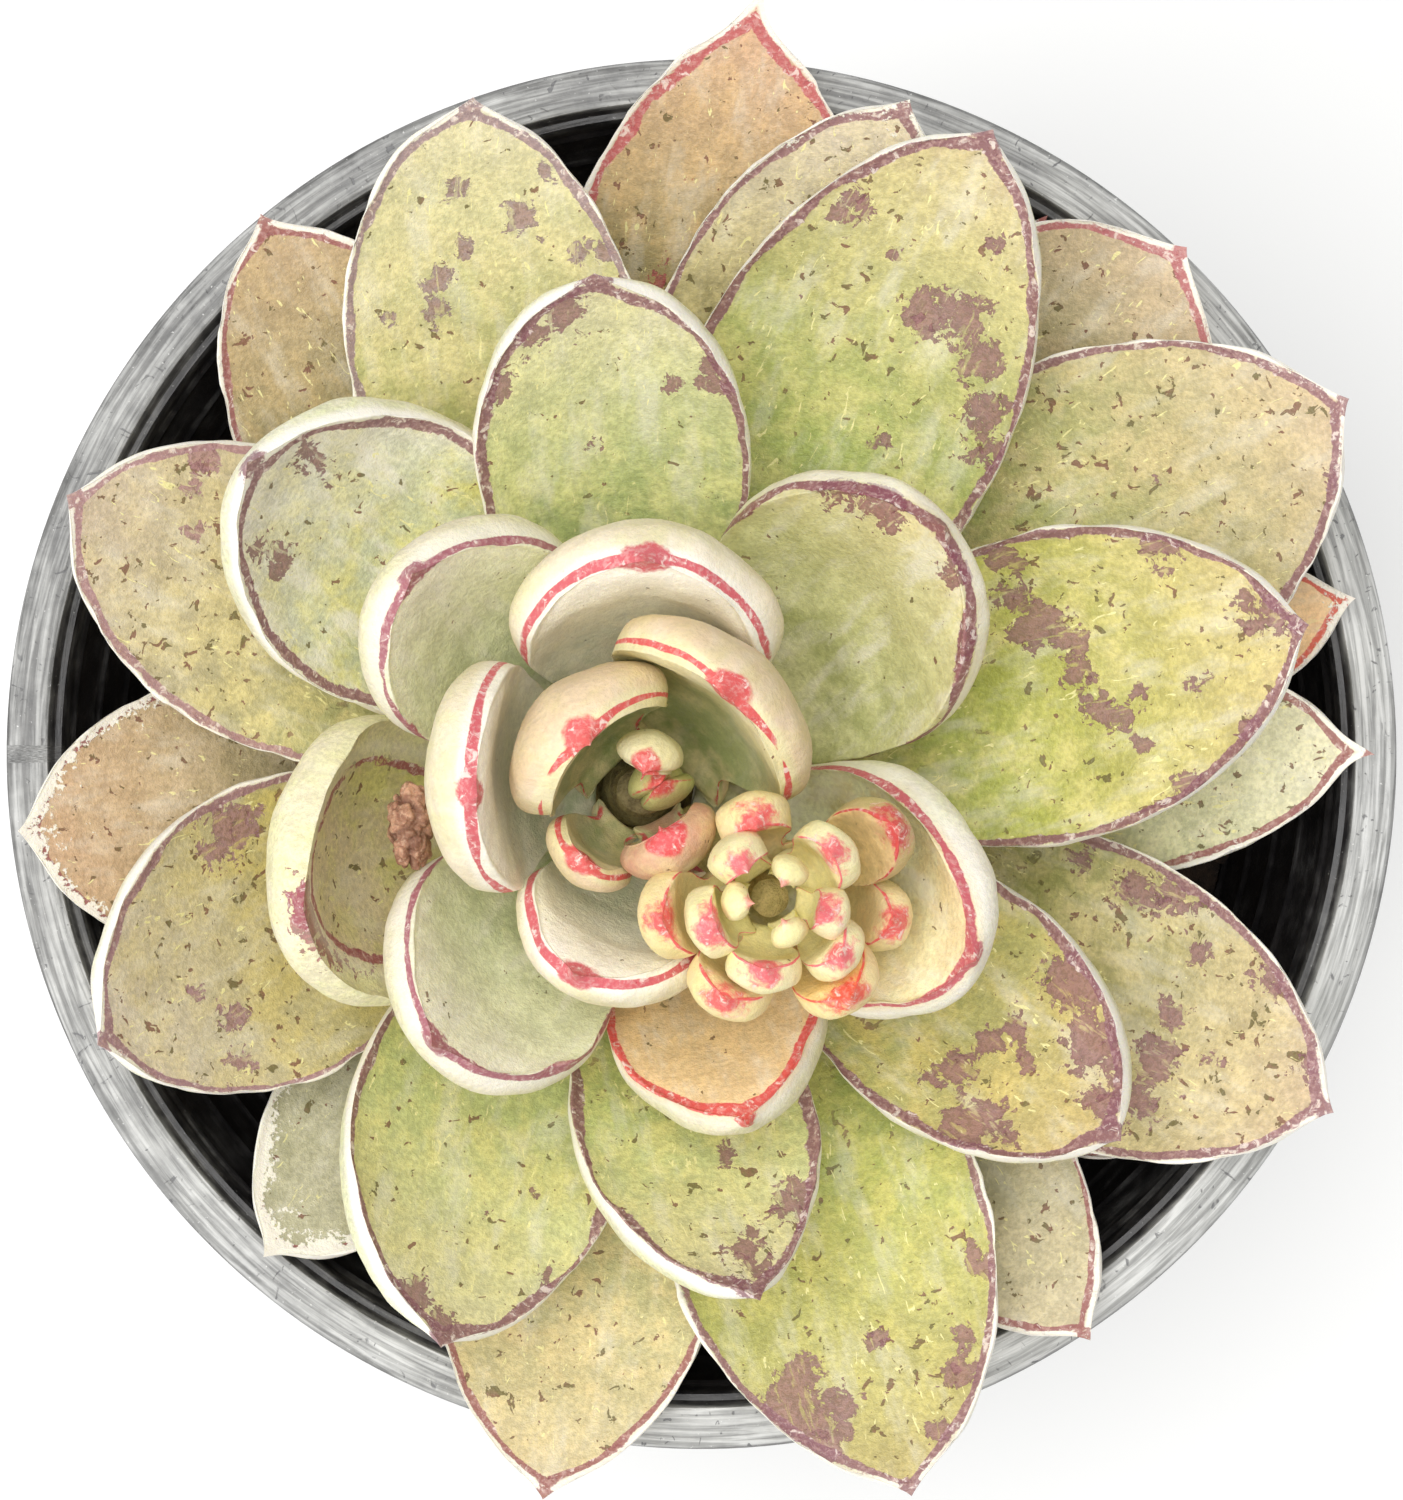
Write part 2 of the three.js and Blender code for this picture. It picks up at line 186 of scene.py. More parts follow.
# The rings of a CAD leaf from foot to tip. Each starts at the margin on the leaf's
# anticlockwise side and runs over the upper face to the other margin.
def readLeaf(node):
    work = bmesh.new()
    work.from_mesh(nodes[node].data)
    bmesh.ops.remove_doubles(work, verts=work.verts, dist=mergeGap)
    poles = sorted(work.verts, key=lambda v: -len(v.link_edges))[:2]
    tip, foot = sorted(poles, key=lambda v: -v.co.z)
    seen = {tip}
    levels = []
    level = [tip]
    while level:
        reached = {e.other_vert(v) for v in level for e in v.link_edges} - seen
        seen |= reached
        level = sorted(reached, key=lambda v: v.index)
        levels.append(level)
    rings = []
    inner = tip.co.copy()
    for level in levels:
        if len(level) < 3:
            break
        members = set(level)
        ring = [level[0]]
        while len(ring) < len(level):
            beside = [e.other_vert(ring[-1]) for e in ring[-1].link_edges]
            ring.append([v for v in beside if v in members and v not in ring][0])
        centre = sum((v.co for v in ring), ring[0].co * 0) / len(ring)
        turn = sum((a.co.cross(b.co) for a, b in zip(ring, ring[1:] + ring[:1])), centre * 0)
        if turn.dot(inner - centre) < 0:
            ring.reverse()
        if rings:
            above = rings[-1][0]
            linked = {e.other_vert(above) for e in above.link_edges}
            start = [i for i, v in enumerate(ring) if v in linked and ring[i - 1] in linked][0]
            ring = ring[start:] + ring[:start]
        rings.append(ring)
        inner = centre
    places = np.array([[tuple(v.co) for v in ring] for ring in rings])[::-1] / mm
    tipPlace, footPlace = (np.array(tuple(v.co)) / mm for v in (tip, foot))
    work.free()
    sides = places.shape[1]
    quarter = sides // 4
    girths = np.linalg.norm(places - np.roll(places, 1, axis=1), axis=2).sum(1)
    widest = places[int(np.argmax(girths))]
    uneven = []
    for start in range(sides):
        gaps = [np.linalg.norm(widest[start] - widest[(start + k) % sides])
                - np.linalg.norm(widest[start] - widest[(start - k) % sides]) for k in range(1, sides // 2)]
        uneven.append(sum(g * g for g in gaps))
    middle = int(np.argmin(uneven))
    along = tipPlace - footPlace
    sideways = np.array([-along[1], along[0], 0.0])
    upward = np.cross(along, sideways)
    if (widest[middle] - widest[(middle + 2 * quarter) % sides]) @ upward < 0:
        middle += 2 * quarter
    return np.roll(places, quarter - middle, axis=1), footPlace, tipPlace


# A cubic from start to end, with the slopes it leaves and arrives at.
def cubic(share, start, end, leave, arrive):
    square = share ** 2
    cube = share ** 3
    return ((2 * cube - 3 * square + 1) * start + (cube - 2 * square + share) * leave
            + (3 * square - 2 * cube) * end + (cube - square) * arrive)


# A smooth curve round each closed ring.
def roundRings(rings, around):
    sides = rings.shape[1]
    at = np.arange(around) * sides / around
    base = np.floor(at).astype(int)
    share = (at - base)[None, :, None]
    before, start, end, after = (rings[:, (base + k) % sides] for k in (-1, 0, 1, 2))
    return cubic(share, start, end, (end - before) / 2, (after - start) / 2)


# A smooth curve from ring to ring, with knots at their real spacing.
def alongRings(rows, knots, at):
    slopes = np.empty_like(rows)
    steps = np.diff(knots)[:, None, None]
    secants = np.diff(rows, axis=0) / steps
    slopes[0] = secants[0]
    slopes[-1] = secants[-1]
    slopes[1:-1] = (secants[:-1] * steps[1:] + secants[1:] * steps[:-1]) / (steps[1:] + steps[:-1])
    base = np.clip(np.searchsorted(knots, at, side="right") - 1, 0, len(knots) - 2)
    span = (knots[base + 1] - knots[base])[:, None, None]
    share = (at - knots[base])[:, None, None] / span
    return cubic(share, rows[base], rows[base + 1], span * slopes[base], span * slopes[base + 1])


def gridNormals(grid):
    down = np.gradient(grid, axis=0)
    beside = np.roll(grid, -1, axis=1) - np.roll(grid, 1, axis=1)
    normal = np.cross(beside, down)
    return normal / np.maximum(np.linalg.norm(normal, axis=2, keepdims=True), 1e-9)


# Faces of a grid of points closed by a pole at each end.
def closedGrid(rows, columns):
    faces = []
    last = rows * columns + 1
    for column in range(columns):
        beside = (column + 1) % columns
        faces.append((0, 1 + beside, 1 + column))
        for row in range(rows - 1):
            low = 1 + row * columns
            high = low + columns
            faces.append((low + column, low + beside, high + beside, high + column))
        end = last - columns
        faces.append((last, end + column, end + beside))
    return faces


# Colours: root near the stem, face at mid-leaf, patch its mottling, far towards the tip, back
# the underside, line the margin. Sizes in mm: wide, the margin; roll, how far it and the upper
# face's colours reach round the edge; paintedLight, the paler strip of painted light beside it; plump,
# how far the face is filled out; spike, what is added to the tip; spot, the coloured spot at the tip.
# Amounts from 0 to 1: rim, how white the edge is; ragged, how broken the margin is; speck, crust, bloom.
leafLooks = {
    "outer_leaf": {
        "root": (0.50, 0.54, 0.34), "face": (0.67, 0.66, 0.44), "patch": (0.80, 0.70, 0.48),
        "far": (0.85, 0.72, 0.60), "back": (0.88, 0.83, 0.74), "line": (0.60, 0.36, 0.36),
        "wide": 0.6, "roll": 0.0, "speck": 0.7, "crust": 0.35, "bloom": 0.3, "rim": 1.0,
        "paintedLight": 0.3, "plump": 0.0, "spike": 0.3, "spot": 1.0, "ragged": 1.0,
    },
    "lower_leaf": {
        "root": (0.60, 0.67, 0.34), "face": (0.71, 0.73, 0.44), "patch": (0.83, 0.78, 0.54),
        "far": (0.85, 0.75, 0.62), "back": (0.95, 0.92, 0.84), "line": (0.56, 0.39, 0.42),
        "wide": 0.75, "roll": 0.1, "speck": 0.85, "crust": 0.2, "bloom": 0.3, "rim": 1.0,
        "paintedLight": 0.4, "plump": 0.0, "spike": 0.3, "spot": 1.2, "ragged": 1.0,
    },
    "middle_leaf": {
        "root": (0.60, 0.68, 0.36), "face": (0.71, 0.76, 0.43), "patch": (0.84, 0.82, 0.52),
        "far": (0.85, 0.79, 0.62), "back": (0.94, 0.92, 0.80), "line": (0.53, 0.35, 0.39),
        "wide": 0.9, "roll": 0.3, "speck": 0.65, "crust": 0.15, "bloom": 0.35, "rim": 1.0,
        "paintedLight": 0.8, "plump": 0.0, "spike": 0.3, "spot": 1.5, "ragged": 1.0,
    },
    "upper_leaf": {
        "root": (0.64, 0.70, 0.48), "face": (0.80, 0.82, 0.64), "patch": (0.86, 0.87, 0.70),
        "far": (0.95, 0.92, 0.82), "back": (0.94, 0.90, 0.78), "line": (0.62, 0.30, 0.38),
        "wide": 1.0, "roll": 1.1, "speck": 0.15, "crust": 0.2, "bloom": 0.5, "rim": 0.5,
        "paintedLight": 2.2, "plump": 0.5, "spike": 0.7, "spot": 1.6, "ragged": 0.6,
    },
    "inner_leaf": {
        "root": (0.78, 0.84, 0.66), "face": (0.94, 0.94, 0.84), "patch": (0.96, 0.95, 0.84),
        "far": (0.99, 0.96, 0.90), "back": (0.95, 0.89, 0.77), "line": (0.80, 0.25, 0.32),
        "wide": 0.8, "roll": 1.3, "speck": 0.03, "crust": 0.08, "bloom": 0.4, "rim": 0.12,
        "paintedLight": 3.2, "plump": 1.0, "spike": 0.6, "spot": 1.8, "ragged": 0.35,
    },
    "heart_leaf": {
        "root": (0.60, 0.66, 0.40), "face": (0.80, 0.80, 0.58), "patch": (0.86, 0.82, 0.60),
        "far": (0.95, 0.90, 0.72), "back": (0.92, 0.82, 0.68), "line": (0.84, 0.24, 0.29),
        "wide": 0.6, "roll": 1.2, "speck": 0.03, "crust": 0.03, "bloom": 0.2, "rim": 0.05,
        "paintedLight": 2.4, "plump": 0.8, "spike": 0.3, "spot": 1.9, "ragged": 0.3,
    },
    "pup_outer_leaf": {
        "root": (0.90, 0.86, 0.56), "face": (0.96, 0.90, 0.66), "patch": (0.98, 0.88, 0.64),
        "far": (0.99, 0.88, 0.70), "back": (0.98, 0.89, 0.68), "line": (0.93, 0.30, 0.36),
        "wide": 0.12, "roll": 0.1, "speck": 0.0, "crust": 0.0, "bloom": 0.1, "rim": 0.0,
        "paintedLight": 0.5, "plump": 0.6, "spike": 0.6, "spot": 2.9, "ragged": 0.4,
    },
    "pup_inner_leaf": {
        "root": (0.92, 0.88, 0.58), "face": (0.97, 0.94, 0.72), "patch": (0.98, 0.92, 0.66),
        "far": (0.99, 0.94, 0.78), "back": (0.98, 0.93, 0.74), "line": (0.94, 0.36, 0.44),
        "wide": 0.1, "roll": 0.1, "speck": 0.0, "crust": 0.0, "bloom": 0.1, "rim": 0.0,
        "paintedLight": 0.5, "plump": 0.6, "spike": 0.5, "spot": 2.6, "ragged": 0.4,
    },
    "pup_heart_leaf": {
        "root": (0.86, 0.84, 0.50), "face": (0.95, 0.92, 0.66), "patch": (0.94, 0.90, 0.60),
        "far": (0.98, 0.93, 0.72), "back": (0.96, 0.92, 0.68), "line": (0.95, 0.58, 0.52),
        "wide": 0.05, "roll": 0.1, "speck": 0.0, "crust": 0.0, "bloom": 0.05, "rim": 0.0,
        "paintedLight": 0.3, "plump": 0.3, "spike": 0.2, "spot": 0.9, "ragged": 0.4,
    },
}

# What sets a single leaf apart from its whorl.
ownLooks = {
    "outer_leaf_1": {"root": (0.48, 0.50, 0.32), "face": (0.68, 0.65, 0.43), "patch": (0.81, 0.71, 0.48),
                     "far": (0.86, 0.70, 0.57), "line": (0.74, 0.36, 0.38), "wide": 1.0, "spike": 2.4},
    "outer_leaf_2": {"root": (0.48, 0.50, 0.34), "face": (0.61, 0.60, 0.41), "patch": (0.73, 0.66, 0.46),
                     "far": (0.80, 0.68, 0.54)},
    "outer_leaf_3": {"face": (0.70, 0.66, 0.50), "patch": (0.78, 0.72, 0.58), "far": (0.86, 0.70, 0.56),
                     "crust": 0.8},
    "outer_leaf_4": {"face": (0.68, 0.67, 0.52), "patch": (0.76, 0.74, 0.62), "far": (0.78, 0.76, 0.64),
                     "crust": 0.9, "speck": 0.3},
    "outer_leaf_5": {"face": (0.74, 0.74, 0.52), "patch": (0.84, 0.77, 0.54), "far": (0.88, 0.80, 0.62)},
    "outer_leaf_7": {"face": (0.95, 0.84, 0.60), "patch": (0.97, 0.86, 0.64), "far": (0.99, 0.82, 0.64),
                     "line": (0.82, 0.34, 0.30), "crust": 0.6, "speck": 0.2},
    "outer_leaf_8": {"line": (0.60, 0.26, 0.26)},
    "outer_leaf_9": {"face": (0.66, 0.68, 0.44), "patch": (0.78, 0.72, 0.54), "far": (0.84, 0.74, 0.62),
                     "line": (0.72, 0.42, 0.44)},
    "outer_leaf_10": {"face": (0.72, 0.72, 0.56), "patch": (0.80, 0.76, 0.60), "far": (0.84, 0.78, 0.64)},
    "outer_leaf_11": {"root": (0.62, 0.66, 0.40), "face": (0.79, 0.81, 0.58), "patch": (0.90, 0.88, 0.70),
                      "far": (0.93, 0.90, 0.77), "spike": 1.3},
    "lower_leaf_1": {"root": (0.52, 0.50, 0.28), "face": (0.68, 0.64, 0.40), "far": (0.92, 0.86, 0.78),
                     "crust": 0.5},
    "lower_leaf_3": {"root": (0.60, 0.62, 0.26), "face": (0.70, 0.69, 0.42)},
    "lower_leaf_4": {"root": (0.60, 0.67, 0.30), "face": (0.70, 0.73, 0.38), "patch": (0.80, 0.78, 0.44),
                     "far": (0.80, 0.73, 0.50), "speck": 0.7},
    "lower_leaf_5": {"far": (0.84, 0.76, 0.66), "face": (0.74, 0.71, 0.52), "line": (0.66, 0.50, 0.52)},
    "lower_leaf_6": {"root": (0.66, 0.62, 0.24), "face": (0.76, 0.72, 0.50), "patch": (0.80, 0.74, 0.44),
                     "far": (0.90, 0.84, 0.76), "line": (0.62, 0.46, 0.50)},
    "lower_leaf_7": {"face": (0.76, 0.76, 0.48), "patch": (0.84, 0.80, 0.56), "far": (0.90, 0.86, 0.70),
                     "line": (0.60, 0.50, 0.52), "speck": 0.35},
    "middle_leaf_1": {"face": (0.70, 0.74, 0.42), "patch": (0.80, 0.79, 0.50), "far": (0.86, 0.77, 0.60)},
    "middle_leaf_2": {"root": (0.66, 0.72, 0.46), "face": (0.77, 0.80, 0.52), "far": (0.90, 0.86, 0.68),
                      "speck": 0.5},
    "middle_leaf_3": {"face": (0.74, 0.75, 0.36), "patch": (0.84, 0.81, 0.50), "far": (0.84, 0.75, 0.54)},
    "middle_leaf_4": {"face": (0.70, 0.70, 0.42), "patch": (0.80, 0.74, 0.44), "far": (0.84, 0.74, 0.52)},
    "middle_leaf_5": {"roll": 0.6, "wide": 1.3, "face": (0.75, 0.79, 0.50), "far": (0.90, 0.85, 0.68)},
    "middle_leaf_6": {"root": (0.80, 0.76, 0.56), "face": (0.90, 0.84, 0.66), "back": (0.97, 0.93, 0.78),
                      "far": (0.95, 0.87, 0.76), "line": (0.64, 0.34, 0.38), "wide": 0.9, "roll": -2.6,
                      "rim": 0.3},
    "middle_leaf_7": {"root": (0.62, 0.67, 0.48), "face": (0.82, 0.84, 0.68), "far": (0.97, 0.94, 0.90),
                      "bloom": 0.8, "roll": 0.0, "paintedLight": 2.0, "speck": 0.35},
    "middle_leaf_8": {"root": (0.50, 0.58, 0.34), "face": (0.72, 0.76, 0.50), "patch": (0.82, 0.82, 0.56),
                      "far": (0.90, 0.86, 0.70), "speck": 0.3},
    "upper_leaf_1": {"root": (0.56, 0.60, 0.34), "face": (0.75, 0.76, 0.52), "patch": (0.82, 0.82, 0.60),
                     "far": (0.90, 0.84, 0.62), "line": (0.52, 0.28, 0.34), "wide": 1.5, "roll": 1.5},
    "upper_leaf_2": {"root": (0.62, 0.60, 0.40), "face": (0.86, 0.76, 0.56), "patch": (0.92, 0.80, 0.58),
                     "far": (0.97, 0.84, 0.64), "line": (0.86, 0.27, 0.30), "roll": 0.5},
    "upper_leaf_5": {"root": (0.60, 0.60, 0.30), "face": (0.86, 0.80, 0.54), "far": (0.97, 0.88, 0.70),
                     "back": (0.97, 0.94, 0.87), "line": (0.76, 0.28, 0.37)},
    "heart_leaf_4": {"face": (0.76, 0.60, 0.46), "back": (0.78, 0.60, 0.48), "far": (0.86, 0.64, 0.54)},
    "pup_outer_leaf_1": {"face": (0.80, 0.72, 0.50), "back": (0.82, 0.73, 0.52), "far": (0.84, 0.68, 0.50),
                         "line": (0.80, 0.20, 0.26)},
    "pup_outer_leaf_3": {"face": (0.97, 0.84, 0.52), "far": (0.98, 0.78, 0.48), "line": (0.92, 0.28, 0.26)},
}

# Stains on single leaves: (share of the way out, mm to the anticlockwise side, radius mm, strength).
leafStains = {
    "lower_leaf_2": [(0.74, 1.3, 0.9, 0.8), (0.79, 6.3, 0.6, 0.7), (0.94, -4.4, 1.2, 0.6)],
    "lower_leaf_3": [(0.63, 8.5, 1.7, 0.95), (0.67, 9.6, 1.6, 0.9), (0.54, 9.1, 1.2, 0.8),
                     (0.72, 9.6, 1.4, 0.8), (0.75, 6.5, 1.0, 0.8), (0.75, 1.2, 1.3, 0.9),
                     (0.76, -2.0, 1.8, 1.0), (0.83, -0.3, 1.0, 0.8), (0.77, -5.6, 2.0, 0.85),
                     (0.85, 6.6, 1.6, 0.8), (0.95, 2.4, 1.5, 0.8)],
    "lower_leaf_4": [(0.80, -4.4, 1.6, 0.95), (0.83, -6.4, 2.2, 1.1), (0.88, -4.6, 2.0, 1.1),
                     (0.86, -2.6, 1.5, 0.95), (0.79, 1.5, 0.9, 0.9), (0.83, 7.5, 1.1, 0.9),
                     (0.87, 6.2, 1.4, 0.95), (0.73, 10.6, 1.4, 0.9), (0.93, 3.6, 1.1, 0.9)],
    "lower_leaf_5": [(0.84, -6.9, 1.3, 1.0), (0.83, -4.4, 1.0, 0.9), (0.80, -1.7, 0.9, 0.85)],
    "lower_leaf_6": [(0.82, -0.2, 1.0, 0.8), (0.79, 2.3, 1.3, 0.85), (0.80, 5.5, 1.2, 0.8),
                     (0.63, -10.6, 2.0, 1.0), (0.68, -9.4, 1.2, 0.9), (0.86, 8.2, 1.4, 0.8)],
    "lower_leaf_7": [(0.88, 2.8, 0.9, 0.85), (0.82, -1.1, 1.3, 0.95), (0.88, -3.9, 0.8, 0.9),
                     (0.80, 3.5, 0.9, 0.9), (0.76, 5.8, 1.1, 0.95), (0.72, 6.5, 1.4, 1.0),
                     (0.75, -4.9, 0.9, 0.9), (0.74, -6.3, 0.9, 0.9), (0.72, 10.0, 0.7, 0.9)],
    "middle_leaf_1": [(0.82, 6.4, 1.6, 0.9), (0.75, -2.0, 1.9, 1.0), (0.77, -4.6, 1.7, 0.95),
                      (0.72, -6.8, 1.8, 1.0), (0.66, -9.0, 1.7, 1.0), (0.55, -3.5, 0.8, 1.0),
                      (0.87, -3.8, 1.0, 0.85), (0.80, 1.9, 0.7, 0.8), (0.60, -10.6, 1.5, 0.9)],
    "middle_leaf_2": [(0.93, -3.1, 1.4, 1.0), (0.97, -0.9, 1.2, 1.0), (0.84, 5.4, 1.0, 0.8),
                      (0.77, -0.5, 0.8, 0.8), (0.70, 2.5, 0.6, 0.8)],
    "middle_leaf_3": [(0.57, 10.2, 1.1, 0.95), (0.60, 9.0, 0.9, 0.9), (0.58, 7.1, 1.4, 0.95),
                      (0.61, 4.4, 2.0, 1.05), (0.65, 2.6, 1.6, 0.95), (0.65, 0.2, 1.4, 0.95),
                      (0.67, -2.3, 1.3, 0.95), (0.70, -3.2, 1.2, 0.9), (0.74, -2.0, 0.9, 0.9),
                      (0.72, -5.5, 0.8, 0.85), (0.83, -2.3, 1.1, 0.9), (0.95, 1.4, 2.0, 1.0),
                      (0.77, -9.3, 1.4, 0.95), (0.82, 8.0, 1.8, 0.95), (0.88, -6.4, 1.5, 0.95)],
    "middle_leaf_4": [(0.77, 7.1, 2.2, 1.1), (0.87, 4.2, 2.2, 1.1), (0.95, 1.3, 1.7, 1.0),
                      (0.70, -2.9, 1.7, 1.0), (0.71, 0.1, 1.3, 0.9), (0.74, 1.9, 1.2, 0.9),
                      (0.77, -5.8, 2.0, 1.1), (0.81, -4.4, 1.6, 1.0), (0.79, 0.7, 1.1, 0.85),
                      (0.67, -4.5, 1.0, 0.85)],
    "middle_leaf_5": [(0.84, 3.8, 1.6, 1.05), (0.93, -0.1, 2.4, 0.75), (0.71, -0.2, 1.0, 0.7)],
    "middle_leaf_7": [(0.86, 4.0, 1.6, 0.8), (0.92, -3.0, 1.4, 0.8)],
    "middle_leaf_8": [(0.79, 8.0, 1.2, 1.0), (0.94, 2.2, 1.9, 0.9), (0.78, -7.6, 1.6, 0.95),
                      (0.77, -4.8, 0.9, 0.8), (0.65, 1.6, 0.9, 0.75), (0.90, 5.0, 1.4, 0.8)],
    "upper_leaf_1": [(0.93, 4.0, 2.0, 1.0), (0.85, 7.0, 1.5, 0.95), (0.96, -3.0, 1.6, 0.95),
                     (0.86, -8.0, 1.4, 0.95)],
    "outer_leaf_1": [(0.62, 5.0, 1.4, 0.7), (0.60, -2.0, 1.2, 0.7)],
    "outer_leaf_11": [(0.90, -4.4, 1.0, 0.95)],
}

# Stains on the underside, where it is turned to the light.
backStains = {"middle_leaf_6": [(0.90, 2.0, 2.8, 1.3), (0.96, 0.4, 2.2, 1.2)]}


# Fineness of the skin's patterns (per mm) and the colours of its marks.
skinScale = {"coarse": 0.15, "medium": 0.55, "fine": 2.6, "grain": 9.0, "flake": 1.3, "speck": 0.95}
markTone = {"bloom": (0.94, 0.92, 0.86), "oliveSpeck": (0.42, 0.38, 0.22), "brownSpeck": (0.50, 0.32, 0.27),
            "scratch": (0.95, 0.92, 0.66), "stainInside": (0.70, 0.52, 0.50),
            "stainDark": (0.38, 0.22, 0.26), "rim": (0.99, 0.97, 0.93), "marginPale": (0.88, 0.74, 0.72),
            "marginFlake": (0.97, 0.92, 0.88), "crust": (0.97, 0.95, 0.90)}
skinDepth = {"bump": 0.00025, "scatter": 0.0016}


def leafSkin():
    material, tree, shader = newMaterial("leafSkin")
    place = objectPlace(tree)
    leafPlace = attribute(tree, "leafPlace", "Vector")
    onFace = attribute(tree, "onFace")
    edge = attribute(tree, "edge")
    coarse = noise(tree, place, skinScale["coarse"], 3, 0.6, 0.4)
    medium = noise(tree, place, skinScale["medium"], 4, 0.6, 0.3)
    fine = noise(tree, place, skinScale["fine"], 3, 0.6)
    grain = noise(tree, place, skinScale["grain"], 2, 0.5)
    flake = noise(tree, place, skinScale["flake"], 4, 0.65, 0.7)
    streak = noise(tree, scaledPlace(tree, leafPlace, (2.0, 0.45, 1)), 1.0, 3, 0.6, 0.6)
    body = attribute(tree, "body", "Color")
    patch = attribute(tree, "patch", "Color")
    line = attribute(tree, "line", "Color")
    speckAmount = attribute(tree, "speck")
    mark = {name: tone(*shade) for name, shade in markTone.items()}

    # mottling in two sizes, then a fine grain
    mottle = timesPlus(tree, medium, 0.5, times(tree, coarse, 0.6))
    colour = mixColour(tree, ramp(tree, mottle, 0.44, 0.68), body, patch)
    shade = ramp(tree, timesPlus(tree, fine, 0.6, times(tree, medium, 0.4)),
                 0.36, 0.66, 0.78, 1.1)
    shadeColour = addNode(tree, "ShaderNodeCombineColor", {0: shade, 1: shade, 2: shade}).outputs[0]
    colour = mixColour(tree, ramp(tree, speckAmount, 0.0, 0.3, 0.45, 1.0), colour, shadeColour, "MULTIPLY")

    # waxy bloom lies in pale clouds
    bloomField = noise(tree, scaledPlace(tree, leafPlace, (0.5, 0.16, 1)), 1.0, 4, 0.62)
    bloom = times(tree, ramp(tree, bloomField, 0.46, 0.72), attribute(tree, "bloom"))
    colour = mixColour(tree, bloom, colour, mark["bloom"])

    # brown specks gather in clouds on the outer half of the upper face
    speckField = noise(tree, place, skinScale["speck"], 3, 0.55, 0.5)
    limit = timesPlus(tree, speckAmount, -0.11, 0.74)
    limit = timesPlus(tree, coarse, -0.18, plus(tree, limit, 0.07))
    over = maths(tree, "SUBTRACT", speckField, limit)
    specks = times(tree, ramp(tree, over, 0.0, 0.02, 0.0, 0.85), onFace)
    specks = times(tree, specks, attribute(tree, "outward"))
    speckShade = mixColour(tree, ramp(tree, medium, 0.4, 0.6), mark["oliveSpeck"], mark["brownSpeck"])
    colour = mixColour(tree, specks, colour, speckShade)

    # pale scratches and flakes
    scratchField = noise(tree, scaledPlace(tree, leafPlace, (1.6, 0.5, 1)), 1.0, 2, 0.5, 1.4)
    scratches = times(tree, ramp(tree, scratchField, 0.67, 0.71, 0.0, 0.8), onFace)
    scratches = times(tree, scratches, ramp(tree, speckAmount, 0.05, 0.4))
    colour = mixColour(tree, scratches, colour, mark["scratch"])

    # stained blotches, darker round their broken border than inside
    ragged = timesPlus(tree, medium, 1.6, times(tree, flake, 1.5))
    ragged = maths(tree, "SUBTRACT", ragged, 1.66)
    stainField = plus(tree, attribute(tree, "stain"), ragged)
    stain = ramp(tree, stainField, 0.46, 0.52)
    inside = ramp(tree, stainField, 0.56, 0.85, 0.0, 0.4)
    stainShade = mixColour(tree, inside, line, mark["stainInside"])
    stainShade = mixColour(tree, ramp(tree, fine, 0.46, 0.6, 0.0, 0.55), stainShade, mark["stainDark"])
    stainShade = mixColour(tree, ramp(tree, streak, 0.55, 0.66, 0.0, 0.6), stainShade, colour)
    colour = mixColour(tree, times(tree, stain, 0.82), colour, stainShade)

    # pale rounded edge, with the coloured margin just inside it
    rimAmount = times(tree, ramp(tree, edge, -1.3, -0.3), ramp(tree, edge, 0.3, 0.7, 1.0, 0.0))
    rimAmount = times(tree, rimAmount, attribute(tree, "rim"))
    colour = mixColour(tree, times(tree, rimAmount, 0.85), colour, mark["rim"])
    ragged = timesPlus(tree, medium, 1.5, times(tree, flake, 1.1))
    ragged = times(tree, maths(tree, "SUBTRACT", ragged, 1.3), attribute(tree, "raggedness"))
    marginField = plus(tree, attribute(tree, "margin"), ragged)
    margin = ramp(tree, marginField, 0.16, 0.34)
    marginShade = mixColour(tree, ramp(tree, fine, 0.46, 0.66, 0.0, 0.35), line, mark["marginPale"])
    marginShade = mixColour(tree, ramp(tree, flake, 0.56, 0.66, 0.0, 0.7), marginShade, mark["marginFlake"])
    colour = mixColour(tree, times(tree, margin, 0.9), colour, marginShade)

    # dry white crust
    crustField = timesPlus(tree, medium, 0.9, times(tree, fine, 0.9))
    crust = plus(tree, attribute(tree, "crust"), maths(tree, "SUBTRACT", crustField, 0.9))
    crust = ramp(tree, crust, 0.42, 0.5, 0.0, 0.9)
    colour = mixColour(tree, crust, colour, mark["crust"])
    tree.links.new(colour, shader.inputs["Base Color"])

    gloss = timesPlus(tree, medium, 0.3, 0.28)
    gloss = timesPlus(tree, crust, 0.3, gloss)
    tree.links.new(gloss, shader.inputs["Roughness"])
    shader.inputs["Specular IOR Level"].default_value = 0.4
    shader.inputs["Subsurface Weight"].default_value = 0.12
    shader.inputs["Subsurface Radius"].default_value = (1.0, 0.8, 0.35)
    shader.inputs["Subsurface Scale"].default_value = skinDepth["scatter"]
    relief = timesPlus(tree, fine, 0.8, times(tree, grain, 0.3))
    relief = timesPlus(tree, crust, 0.9, relief)
    relief = timesPlus(tree, specks, -0.6, relief)
    relief = timesPlus(tree, stain, -0.5, relief)
    addBump(tree, shader, relief, 0.5, skinDepth["bump"])
    return material


